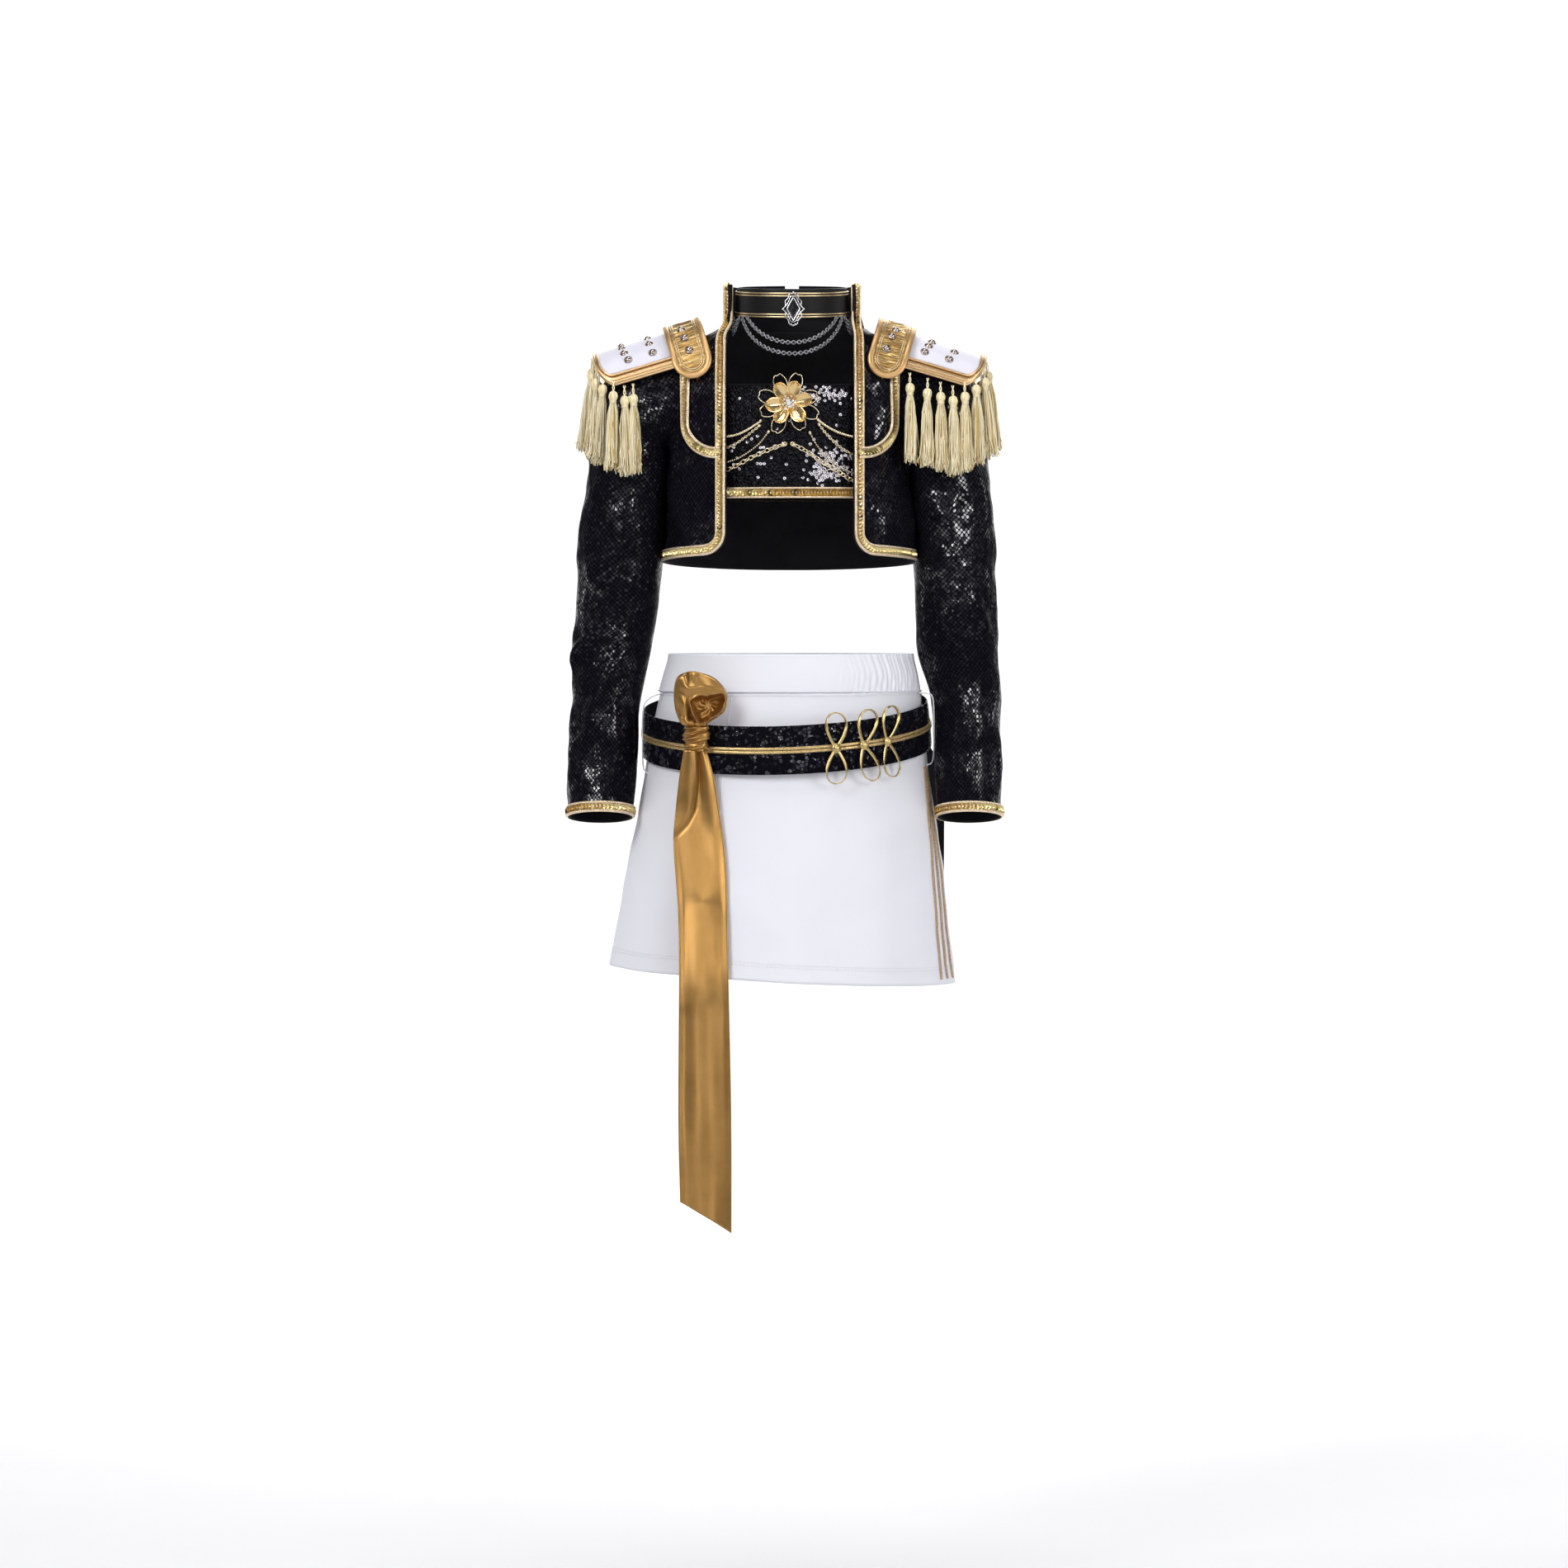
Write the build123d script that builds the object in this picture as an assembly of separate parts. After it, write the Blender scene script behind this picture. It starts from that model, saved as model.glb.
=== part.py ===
"""Child's stage-cheer uniform in its worn shape: cropped jacket with epaulettes, bandeau top, choker,
hip belt with a satin bow, and an A-line skirt.  Millimetres, +Z up, the wearer faces -Y, wearer's left is +X.
The origin is the centre of the skirt's waist opening."""
from build123d import *
from math import asin, atan2, cos, degrees, pi, radians, sin, sqrt, tan
import os

# ---- driving dimensions -------------------------------------------------------------------------
SKIRT_LENGTH = 279          # waist to hem at centre front
WAIST_A, WAIST_B = 109, 76  # half width and half depth of the waist opening
WAISTBAND_H = 27
HEM_A, HEM_B = 151.5, 118
CLOTH = 1.8                 # skirt wall with its lining
SHIRRED = 2.0               # jacket wall with its lining
JACKET_HEM_Z = 85.7         # at the side; the hem climbs towards the front
HEM_CLIMB = 4.5             # degrees
NECK_Z = 288                # where the stand collar is sewn on
COLLAR_H = 38
NECK_X = 2                  # the neck sits a little to the wearer's left
OPENING = 55                # half width of the jacket's open front
CORNER_R = 20               # rounded front corner of the jacket hem
TRIM_W = 9.5                # sequin trim width
TRIM_T = 1.0
BANDEAU_Z = (140, 238)
ELBOW_Y, ELBOW_Z = 2, 60
BELT_Z = -58.5
BELT_H = 41
BELT_PITCH, BELT_ROLL = 12.2, -2.0
TASSEL_LENGTH = 74
GAP = 0.3                   # clearance between pieces that aren't sewn together

parts = {}


# ---- helpers ------------------------------------------------------------------------------------
def oval(centre, a, b, normal=(0, 0, 1), count=16):
    """Closed smooth wire round centre: half axis b runs along Y, half axis a across it."""
    n = Vector(*normal).normalized()
    v = (Vector(0, 1, 0) - n * n.Y).normalized()
    u = v.cross(n)
    c = Vector(*centre)
    ring = [c + u * (a * cos(2 * pi * i / count)) + v * (b * sin(2 * pi * i / count)) for i in range(count)]
    return Wire([Edge.make_spline(ring, periodic=True)])


def solid_of(sections):
    """Solid through sections of (centre, a, b, normal)."""
    return Solid.make_loft([oval(*s) for s in sections], ruled=True)


def grown(sections, by, stretch=0.0):
    """The same sections with larger half axes, and both ends pushed out along their normals."""
    out = [(c, a + by, b + by, n) for c, a, b, n in sections]
    if stretch:
        for end, sign in ((0, -1), (-1, 1)):
            c, a, b, n = out[end]
            along = Vector(*n).normalized()
            if (Vector(*out[-1][0]) - Vector(*out[0][0])).dot(along) < 0:
                along = -along
            moved = Vector(*c) + along * (sign * stretch)
            out[end] = ((moved.X, moved.Y, moved.Z), a, b, n)
    return out


def tube(sections, wall):
    """Open tube whose outside follows the sections."""
    return solid_of(sections) - solid_of(grown(sections, -wall, 3))


def block(x, y, z):
    """Box from its three (low, high) ranges."""
    lows, highs = zip(x, y, z)
    size = [h - l for l, h in zip(lows, highs)]
    return Pos(*[(l + h) / 2 for l, h in zip(lows, highs)]) * Box(*size)


FAR = 600
FRONT = block((-FAR, FAR), (-FAR, 0), (-FAR, FAR))
BACK = block((-FAR, FAR), (0, FAR), (-FAR, FAR))


def along_y(profile):
    """Extrudes a profile drawn on XZ right through the model, front to back."""
    return extrude(profile, 300, both=True)


def xz(points):
    """Closed straight-sided face on the XZ plane, from (x, z) points."""
    return Plane.XZ * make_face(Polyline(*[(x, z) for x, z in points], close=True))


def wire_tube(points, radius, bend=0.45):
    """Round wire through points: straight runs joined by tangent arcs as large as the runs allow."""
    pts = [Vector(*p) for p in points]
    radii = []
    for before, at, after in zip(pts, pts[1:], pts[2:]):
        turn = (at - before).get_angle(after - at)
        shorter = min((at - before).length, (after - at).length)
        radii.append(bend * shorter / tan(radians(turn) / 2))
    path = FilletPolyline(*[tuple(p) for p in pts], radius=radii)
    start = Plane(origin=path @ 0, z_dir=path % 0)
    return sweep(start * Circle(radius), path=path)


def mirrored(shape):
    return mirror(shape, about=Plane.YZ)


def both_sides(name, make):
    """Writes the wearer's left piece and its mirror image."""
    left = make()
    parts[f"{name}_left"] = left
    parts[f"{name}_right"] = mirrored(left)


def group(shapes):
    """Several separate solids in one node."""
    found = []
    for s in shapes:
        found += s.solids()
    return Compound(children=found)


UP = (0, 0, 1)


def level(z, a, b, x=0.0, y=0.0):
    return ((x, y, z), a, b, UP)


# ---- bandeau top --------------------------------------------------------------------------------
BANDEAU = [level(BANDEAU_Z[0], 96, 69), level(175, 97, 71), level(210, 98, 70), level(BANDEAU_Z[1], 97, 66.5)]


def between(sections, z):
    """Half axes of a stack of level sections at height z."""
    z = min(max(z, sections[0][0][2]), sections[-1][0][2])
    for (c, a, b, _), (c2, a2, b2, _) in zip(sections, sections[1:]):
        if z <= c2[2]:
            t = (z - c[2]) / (c2[2] - c[2])
            return a + (a2 - a) * t, b + (b2 - b) * t
    return sections[-1][1:3]


def bandeau_depth(x, z, off=0.0):
    """Front surface of the bandeau: its Y at a given place, moved out by off."""
    a, b = between(BANDEAU, z)
    return -(b + off) * sqrt(max(0.0, 1 - (x / (a + off)) ** 2))


def make_bandeau():
    ring = tube(BANDEAU, 1.8)
    parts["bandeau_front"] = ring & FRONT
    parts["bandeau_back"] = ring & BACK
    low = BANDEAU_Z[0]
    outside = solid_of(BANDEAU)
    band = solid_of(grown(BANDEAU, TRIM_T)) - outside
    parts["bandeau_trim"] = band & block((-FAR, FAR), (-FAR, FAR), (low, low + TRIM_W))


# ---- flower brooch and its chains ---------------------------------------------------------------
BROOCH = (-1, 221)          # x, z of the flower's centre
BROOCH_Y = bandeau_depth(*BROOCH) - 2.2


def on_brooch(shape, angle, radius, tilt, lift):
    """Places a piece drawn in the XY plane, pointing along +Y, round the flower's centre."""
    place = Pos(BROOCH[0], BROOCH_Y - lift, BROOCH[1]) * Rot(90, 0, 0) * Rot(0, 0, angle)
    return place * Pos(0, radius, 0) * Rot(tilt, 0, 0) * shape


def make_brooch():
    petal = extrude(Ellipse(4.4, 7.6), 0.9)
    parts["flower_petals"] = group(on_brooch(petal, 30 + 60 * i, 10.5, 24, 6.4) for i in range(6))
    ring = extrude(Ellipse(5.6, 8.6) - Ellipse(4.8, 7.8), 0.8)
    parts["flower_wires"] = group(on_brooch(ring, 22.5 + 45 * i, 18.6, 0, 2.2) for i in range(8))
    eye = Pos(BROOCH[0], BROOCH_Y - 6.8, BROOCH[1]) * (Sphere(2.3) & block((-9, 9), (-9, 0), (-9, 9)))
    parts["flower_centre"] = eye
    disc = Pos(BROOCH[0], BROOCH_Y - 2.1, BROOCH[1]) * Rot(90, 0, 0) * Cylinder(7, 0.6)
    bar = Pos(BROOCH[0], BROOCH_Y - 1.1, BROOCH[1] - 5) * Box(17, 1.0, 1.6)
    parts["brooch_pin"] = group([disc, bar])


# each strand is (x, z) stops from the flower to the side, on the wearer's left; sag comes from the stops
STRANDS_LEFT = [
    [(24, 207), (32, 201), (42, 196), (52, 193), (62, 191)],
    [(25, 203), (33, 193), (43, 184), (53, 178), (62, 174)],
    [(17, 196), (24, 184), (33, 174), (44, 166), (56, 161)],
    [(3, 186), (14, 180), (26, 172), (38, 165), (49, 158), (59, 153)],
]
STRANDS_RIGHT = [
    [(-25, 206), (-34, 200), (-44, 195), (-54, 193), (-63, 192)],
    [(-26, 202), (-36, 194), (-46, 187), (-55, 183), (-63, 181)],
    [(-18, 197), (-26, 187), (-36, 179), (-47, 173), (-58, 170)],
    [(-5, 186), (-16, 182), (-28, 177), (-40, 171), (-50, 166), (-60, 163)],
]
STRAND_OFF = (2.6, 2.6, 2.6, 5.2)   # the cable chain lies over the finer ones
STRAND_R = (0.8, 0.6, 0.8, 1.3)


def strand(stops, off, radius):
    return wire_tube([(x, bandeau_depth(x, z, off), z) for x, z in stops], radius)


def make_strands():
    for name, stops in (("chains_left", STRANDS_LEFT), ("chains_right", STRANDS_RIGHT)):
        lines = [strand(s, off, r) for s, off, r in zip(stops, STRAND_OFF, STRAND_R)]
        parts[name] = group(lines)


# ---- choker -------------------------------------------------------------------------------------
CHOKER_TILT = 5
CHOKER_Y = -5
CHOKER_PLACE = Pos(NECK_X, CHOKER_Y, 311.5) * Rot(CHOKER_TILT, 0, 0)
CHOKER_A, CHOKER_H = 49, 25


def make_choker():
    band_line = [level(-CHOKER_H / 2, CHOKER_A, CHOKER_A), level(CHOKER_H / 2, CHOKER_A - 1, CHOKER_A - 1)]
    band = tube(band_line, 1.6)
    slot = block((-6, 6), (0, 80), (-20, 20))
    parts["choker_band"] = CHOKER_PLACE * (band - slot)
    skin = solid_of(grown(band_line, 0.8)) - solid_of(band_line)
    strips = [skin & block((-FAR, FAR), (-FAR, FAR), (z, z + 3.4)) for z in (-CHOKER_H / 2 + 0.4, CHOKER_H / 2 - 6.6)]
    parts["choker_piping"] = CHOKER_PLACE * group([s - slot for s in strips])
    # clasp: two end plates and a bar with its extender links, in the slot at the nape
    plate = Box(3, 1.6, CHOKER_H * 0.8)
    y = CHOKER_A - 1.6
    plates = [Pos(x, y, 0) * plate for x in (-4.4, 4.4)]
    hook = Pos(0, y, 0) * Box(5.6, 1.2, 4)
    parts["choker_clasp"] = CHOKER_PLACE * group(plates + [hook])


PENDANT_TOP = (NECK_X + 1, CHOKER_Y - 51.6, 317.5)


def rhombus(half_width, half_height):
    return make_face(Polyline((half_width, 0), (0, half_height), (-half_width, 0), (0, -half_height), close=True))


def make_pendant():
    x, y, top = PENDANT_TOP
    place = Pos(x, y, top - 15) * Rot(90, 0, 0)
    rim = extrude(rhombus(8.6, 14.6) - rhombus(5.0, 9.4), 1.2)
    tips = [Pos(s * 9.0, 0, 0.6) * Sphere(1.2) for s in (-1, 1)]
    beads = [t - extrude(rhombus(8.6, 14.6), 3, both=True) for t in tips]
    parts["pendant_frame"] = place * group([rim, *beads])
    parts["pendant_stone"] = place * extrude(rhombus(4.9, 9.2), 1.9)


def swag(angle_a, angle_b, z_a, z_b, drop, reach, count=7):
    """Hanging chain round the neck from one angle to the other (0 is straight ahead)."""
    stops = []
    for i in range(count):
        t = i / (count - 1)
        at = radians(angle_a + (angle_b - angle_a) * t)
        low = 4 * t * (1 - t)
        r = 51.6 + reach * low
        stops.append((NECK_X + r * sin(at), CHOKER_Y - r * cos(at), z_a + (z_b - z_a) * t - drop * low))
    return wire_tube(stops, 0.9)


def make_swags():
    centre = [swag(-49, 49, 296.1, 296.1, 22.5, 3.2), swag(-57, 57, 295.5, 295.5, 31.5, 6.6, 9)]
    parts["choker_swags"] = group(centre)
    sides = [swag(s * 64, s * 100, 296.1, 297.5, 14, 1.0, 5) for s in (-1, 1)]
    parts["choker_side_swags"] = group(sides)


# ---- jacket body --------------------------------------------------------------------------------
TORSO = [
    level(72, 104.5, 86),
    level(150, 101.5, 84),
    level(205, 106, 78),
    level(238, 114, 70),
    level(258, 112, 57),
    level(271, 98, 49),
    level(281, 78, 47, NECK_X / 2),
    level(NECK_Z, 63, 49, NECK_X),
]
SHOULDER_FROM = 238         # above this the wall is measured downwards as well


def torso(by=0.0):
    """Torso solid, grown or shrunk by a wall; shrunk ones run out of both ends."""
    out = []
    for (c, a, b, n) in TORSO:
        lift = by if c[2] > SHOULDER_FROM and c[2] < NECK_Z else 0.0
        out.append(((c[0], c[1], c[2] + lift), a + by, b + by, n))
    if by < 0:
        for end, z in ((0, TORSO[0][0][2] - 3), (-1, NECK_Z + 2)):
            c, a, b, n = out[end]
            out[end] = ((c[0], c[1], z), a, b, n)
    return solid_of(out)


# section of the left sleeve: (centre, half width in its own plane, half depth, direction of the arm there)
def arm_normal(alpha, beta=0.0):
    a, b = radians(alpha), radians(beta)
    return (cos(a), -sin(a) * sin(b), -sin(a) * cos(b))


SHOULDER_SECTIONS = [
    ((106, 0, 227), 43.5, 38, arm_normal(12)),
    ((128, 0, 219), 41.5, 38, arm_normal(34)),
]
# the two arms don't hang quite alike: (x, y, z, half width, half depth, lean, forward lean) down each one
UPPER_ARM = {
    "left": [(136.5, 0, 200, 38, 37, 62, 0), (137, 0, 165, 36.5, 36.5, 84, 0), (141, 0, 120, 36.8, 37, 88, 0),
             (143.8, 1, 84, 37, 37.5, 89, 0), (145.5, 2, 38, 37.4, 38, 90, 0)],
    "right": [(138, 0, 200, 38, 37, 62, 0), (139, 0, 165, 37, 36.5, 83, 0), (144.8, 0, 120, 37.8, 37, 86, 0),
              (148, 1, 84, 38.2, 37.5, 88, 0), (151.5, 2, 38, 38, 38, 89, 0)],
}
LOWER_ARM = {
    "left": [(144.2, 1.5, 86, 33.0, 33.0, 90, 0), (145.2, 2, 42, 33.8, 34, 90, 2), (146.4, -1, 6, 34.6, 35, 90, 6),
             (153.6, -6.5, -32, 29.3, 33.8, 90, 9), (154.4, -15, -80, 29.2, 31.5, 90, 11),
             (156, -26, -136, 28, 29.5, 90, 12)],
    "right": [(148.6, 1.5, 86, 34.0, 33.0, 90, 0), (151.6, 2, 42, 34.0, 34, 90, 2), (156, -1, 0, 32.6, 35, 90, 6),
              (160.2, -8, -42, 29.8, 33.6, 90, 9), (161.4, -15, -80, 29.8, 31.5, 90, 11),
              (164.6, -26, -136, 28.2, 29.5, 90, 12)],
}


def arm(stops):
    return [((x, y, z), a, b, arm_normal(lean, forward)) for x, y, z, a, b, lean, forward in stops]


def elbow(side):
    """Elbow hinge, measured on the wearer's left; the right one is mirrored with the rest of its sleeve."""
    return (UPPER_ARM[side][-2][0], ELBOW_Y, ELBOW_Z)


ELBOW_SLOPE = 0.355         # the sleeve ends at the elbow on a slope, so that the forearm can fold forwards


def below_elbow(lift):
    """Everything under the sloping plane through the elbow, lifted by lift."""
    angle = degrees(atan2(-ELBOW_SLOPE, 1))
    return Pos(140, ELBOW_Y, ELBOW_Z + lift) * Rot(angle, 0, 0) * Pos(0, 0, -200) * Box(400, 400, 400)


def make_sleeves():
    """Writes both sleeves and gives back the two hollows that open into the armholes."""
    hollows = []
    for side in ("left", "right"):
        def placed(shape):
            return shape if side == "left" else mirrored(shape)

        upper_line = SHOULDER_SECTIONS + arm(UPPER_ARM[side])
        hollow = solid_of(grown(upper_line, -SHIRRED, 3))
        upper = solid_of(upper_line) - hollow - torso(0.0) - below_elbow(5.5)
        parts[f"sleeve_upper_{side}"] = placed(biggest(upper))
        lower_line = arm(LOWER_ARM[side])
        parts[f"sleeve_lower_{side}"] = placed(biggest(tube(lower_line, SHIRRED) & below_elbow(12)))
        cuff = solid_of(grown(lower_line, TRIM_T)) - solid_of(lower_line)
        c, _, _, n = lower_line[-1]
        band = Plane(origin=c, z_dir=n) * Pos(0, 0, -TRIM_W / 2) * Box(120, 120, TRIM_W)
        parts[f"cuff_trim_{side}"] = placed(biggest(cuff & band))
        hollows.append(placed(hollow))
    return hollows


def biggest(shape):
    return max(shape.solids(), key=lambda s: s.volume)


def above_hem(lift=0.0):
    """Everything above the sloping hem plane, lifted by lift."""
    return Pos(0, 0, JACKET_HEM_Z + lift) * Rot(-HEM_CLIMB, 0, 0) * Pos(0, 0, 300) * Box(800, 800, 600)


def front_outline(inset=0.0):
    """Left front panel seen from the front, with its rounded lower corner."""
    r = CORNER_R - inset
    corner_x = OPENING + CORNER_R
    corner_y = -86 * sqrt(1 - (corner_x / 104.5) ** 2)
    low_x, low_z = OPENING + inset, JACKET_HEM_Z + inset - corner_y * tan(radians(HEM_CLIMB))
    edge = Polyline((low_x, low_z + r), (low_x, 400), (250, 400), (250, 0), (corner_x, 0), (corner_x, low_z))
    return Plane.XZ * make_face(edge + RadiusArc((corner_x, low_z), (low_x, low_z + r), r))


def make_jacket(hollows):
    shell = (torso(0.0) - torso(-SHIRRED) - hollows[0] - hollows[1]) & above_hem()
    left_front = shell & FRONT & along_y(front_outline())
    parts["jacket_front_left"] = biggest(left_front)
    parts["jacket_front_right"] = biggest(shell & FRONT & mirrored(along_y(front_outline())))
    parts["jacket_back"] = biggest(shell & BACK)

    skin = (torso(TRIM_T) - torso(0.0)) & above_hem() & block((-FAR, FAR), (-FAR, FAR), (0, NECK_Z))
    edge_band = along_y(front_outline()) - (along_y(front_outline(TRIM_W)) & above_hem(TRIM_W))
    front_edges = [biggest(skin & FRONT & edge_band), biggest(skin & FRONT & mirrored(edge_band))]
    parts["hem_trim_back"] = biggest((skin & BACK) - above_hem(TRIM_W))

    # braid: straight down from the epaulette, then round to the front edge
    line = Polyline((90, 246), (90, 206)) + RadiusArc((90, 206), (OPENING + TRIM_W + GAP, 179), -27)
    keep = along_y(front_outline(TRIM_W + GAP))
    braid = along_y(Plane.XZ * trace(line, 10)) & keep
    parts["braid_left"] = biggest(skin & FRONT & braid)
    parts["braid_right"] = biggest(skin & FRONT & mirrored(braid))
    return front_edges


COLLAR = [level(NECK_Z, 63, 50, NECK_X), level(NECK_Z + 14, 58.5, 53, NECK_X, 1), level(NECK_Z + COLLAR_H, 58, 57, NECK_X, 4)]
COLLAR_OPEN = 53


def make_collar(front_edges):
    """The stand collar, and the front trims that run on up its two ends."""
    ring = tube(COLLAR, 2.2)
    gap = block((NECK_X - COLLAR_OPEN, NECK_X + COLLAR_OPEN), (-FAR, 0), (0, FAR))
    parts["collar"] = biggest(ring - gap)
    skin = solid_of(grown(COLLAR, TRIM_T)) - solid_of(COLLAR)
    edge = block((NECK_X - COLLAR_OPEN - 6, NECK_X + COLLAR_OPEN + 6), (-FAR, -4), (0, FAR))
    ends = skin & (edge - gap) & block((-FAR, FAR), (-FAR, FAR), (NECK_Z + 1.2, FAR))
    for side, low_x, run in (("left", 0, front_edges[0]), ("right", -FAR, front_edges[1])):
        end = ends & block((low_x, low_x + FAR), (-FAR, FAR), (0, FAR))
        parts[f"front_trim_{side}"] = group([run, biggest(end)])


# ---- epaulettes, drawn with U running down the shoulder from the neck and W square off it --------
SHOULDER_DROP = 16.6        # degrees
EPAULETTE = Plane(
    origin=(75.5, 0, 293.5),
    x_dir=(cos(radians(SHOULDER_DROP)), 0, -sin(radians(SHOULDER_DROP))),
    z_dir=(sin(radians(SHOULDER_DROP)), 0, cos(radians(SHOULDER_DROP))),
)
BOARD_LENGTH, BOARD_HALF, BOARD_CORNER = 100, 44.3, 22
BOARD_LOW = -34             # the arch goes no lower than this
BOARD_Y, BOARD_W = 45, 41   # half axes of the arched board
CAP_Y, CAP_W, CAP_WIDTH, CAP_DROP = 53, 52, 34, 46.5
CAP_LIFT = 5.0


def arch(y_axis, w_axis, top):
    """Long elliptical rod along U whose crown is at W = top."""
    return extrude(Plane.YZ * Pos(0, top - w_axis) * Ellipse(y_axis, w_axis), 140) & block((-1, 139), (-FAR, FAR), (-FAR, FAR))


def arched_shell(y_axis, w_axis, top, wall):
    return arch(y_axis, w_axis, top) - arch(y_axis - wall, w_axis - wall, top - wall)


def board_outline(inset=0.0):
    half = BOARD_HALF - inset
    plan = Rectangle(BOARD_LENGTH * 2 - 2 * inset, 2 * half)
    plan = fillet(plan.vertices(), BOARD_CORNER - inset)
    return extrude(plan, 60, both=True) & block((13.5, 200), (-FAR, FAR), (BOARD_LOW, 20))


def cap_outline(inset=0.0):
    r = CAP_WIDTH / 2 - inset
    middle = CAP_WIDTH / 2 + 1
    low = -CAP_DROP + CAP_WIDTH / 2
    shape = Pos(middle, low) * Circle(r) + Pos(middle, low + 40) * Rectangle(2 * r, 80)
    return extrude(Plane.XZ * shape, 90, both=True)


STUD_R = 3.6
# (U, Y) of the studs; the two shoulders aren't quite alike
BOARD_STUDS = {
    "left": [(51, -19), (49, -27), (47, -34), (72, -25), (69, -34)],
    "right": [(50, -9), (50, -23), (49, -34), (74, -4), (74, -16), (73, -26), (71, -34)],
}
CAP_STUDS = {"left": [(18, -28), (16, -36.5), (14.5, -46)], "right": [(20, -26), (19, -37), (18, -46)]}


def studs(side):
    """Domed studs standing on the board and on the front of the cap."""
    found = []
    for spots, y_axis, w_axis, top in ((BOARD_STUDS, BOARD_Y, BOARD_W, 0), (CAP_STUDS, CAP_Y, CAP_W, CAP_LIFT)):
        under = arch(y_axis, w_axis, top)
        for u, y in spots[side]:
            w = top - w_axis + w_axis * sqrt(1 - (y / y_axis) ** 2)
            found.append((Pos(u, y, w) * Sphere(STUD_R)) - under)
    return found


def tassel():
    """One tassel hanging down from its cord's top."""
    half = Polyline(
        (0, 0), (0.9, 0), (0.9, -5), (3.2, -7), (3.4, -12), (2.5, -15), (4.6, -26), (4.8, -TASSEL_LENGTH),
        (0, -TASSEL_LENGTH), close=True,
    )
    return revolve(Plane.XZ * make_face(half), Axis.Z)


EDGE_START = 30
EDGE_STRAIGHT = BOARD_LENGTH - BOARD_CORNER - EDGE_START
EDGE_ARC = pi * BOARD_CORNER / 2
EDGE_TIP = 2 * (BOARD_HALF - BOARD_CORNER)
EDGE_TOTAL = 2 * EDGE_STRAIGHT + 2 * EDGE_ARC + EDGE_TIP
# how far round the board's edge each tassel hangs, from the front; the back half mirrors the front half
TASSEL_STOPS = {
    "left": [10, 26, 37.5, 48.5, 57, 65.5, 75, 87],
    "right": [43, 50.5, 58, 66, 74, 81.5, 89, 97],
}


def board_edge(d):
    """A point of the board's edge and its outward direction, in U and Y, d along it from the front."""
    half, r = BOARD_HALF, BOARD_CORNER
    if d > EDGE_TOTAL / 2:
        u, y, out_u, out_y = board_edge(EDGE_TOTAL - d)
        return u, -y, out_u, -out_y
    if d < EDGE_STRAIGHT:
        return EDGE_START + d, -half, 0, -1
    d -= EDGE_STRAIGHT
    if d < EDGE_ARC:
        t = d / r
        return BOARD_LENGTH - r + r * sin(t), -half + r - r * cos(t), sin(t), -cos(t)
    return BOARD_LENGTH, -half + r + d - EDGE_ARC, 1, 0


def tassel_place(d):
    """Where the tassel at d hangs: its cord's top under the piping, and how far it leans outwards."""
    u, y, out_u, out_y = board_edge(d)
    w = -BOARD_W + BOARD_W * sqrt(max(0.0, 1 - (min(abs(y), BOARD_HALF) / BOARD_Y) ** 2))
    top = EPAULETTE.from_local_coords(Vector(u + 1.6 * out_u, y + 3.4 * out_y, max(w, BOARD_LOW) - 2.6))
    lean_out = 8 - max(0.0, out_u)
    return top, Vector(out_u, out_y, 0), lean_out


def make_epaulettes():
    board = arched_shell(BOARD_Y, BOARD_W, 0, 2.4) & board_outline(5.5)
    both_sides("epaulette_board", lambda: EPAULETTE * biggest(board))
    rim = arched_shell(BOARD_Y + 1, BOARD_W + 1, 1, 4) & (board_outline() - board_outline(5.5))
    cap = arched_shell(CAP_Y, CAP_W, CAP_LIFT, 2) & cap_outline()
    cap_rim = arched_shell(CAP_Y + 1, CAP_W + 1, CAP_LIFT + 1, 1) - arch(CAP_Y, CAP_W, CAP_LIFT)
    cap_rim = cap_rim & (cap_outline() - cap_outline(5))
    both_sides("epaulette_cap", lambda: EPAULETTE * biggest(cap))
    both_sides("epaulette_piping", lambda: EPAULETTE * group([biggest(rim), biggest(cap_rim)]))
    parts["epaulette_studs_left"] = EPAULETTE * group(studs("left"))
    parts["epaulette_studs_right"] = mirrored(EPAULETTE * group(studs("right")))
    for side, front_half in TASSEL_STOPS.items():
        stops = front_half + [EDGE_TOTAL - d for d in reversed(front_half)]
        for g, name in enumerate(("front", "outer_front", "outer_back", "back")):
            hung = []
            for d in stops[4 * g:4 * g + 4]:
                top, out, lean = tassel_place(d)
                axis = Vector(0, 0, 1).cross(out)
                hung.append(Pos(*top) * Location((0, 0, 0), tuple(axis), -lean) * tassel())
            four = group(hung)
            parts[f"tassels_{name}_{side}"] = four if side == "left" else mirrored(four)


# ---- skirt --------------------------------------------------------------------------------------
SKIRT = [
    level(-WAISTBAND_H, 113.5, 80, 1),
    level(-64, 119.4, 86, -1.6),
    level(-100, 123.8, 91.5, -2.6),
    level(-137, 129.5, 97, -3.3),
    level(-200, 140, 106.5, -7),
    level(-300, 154, 121, -11),
]
HEM_PITCH, HEM_ROLL = 0.3, 3.1


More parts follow.
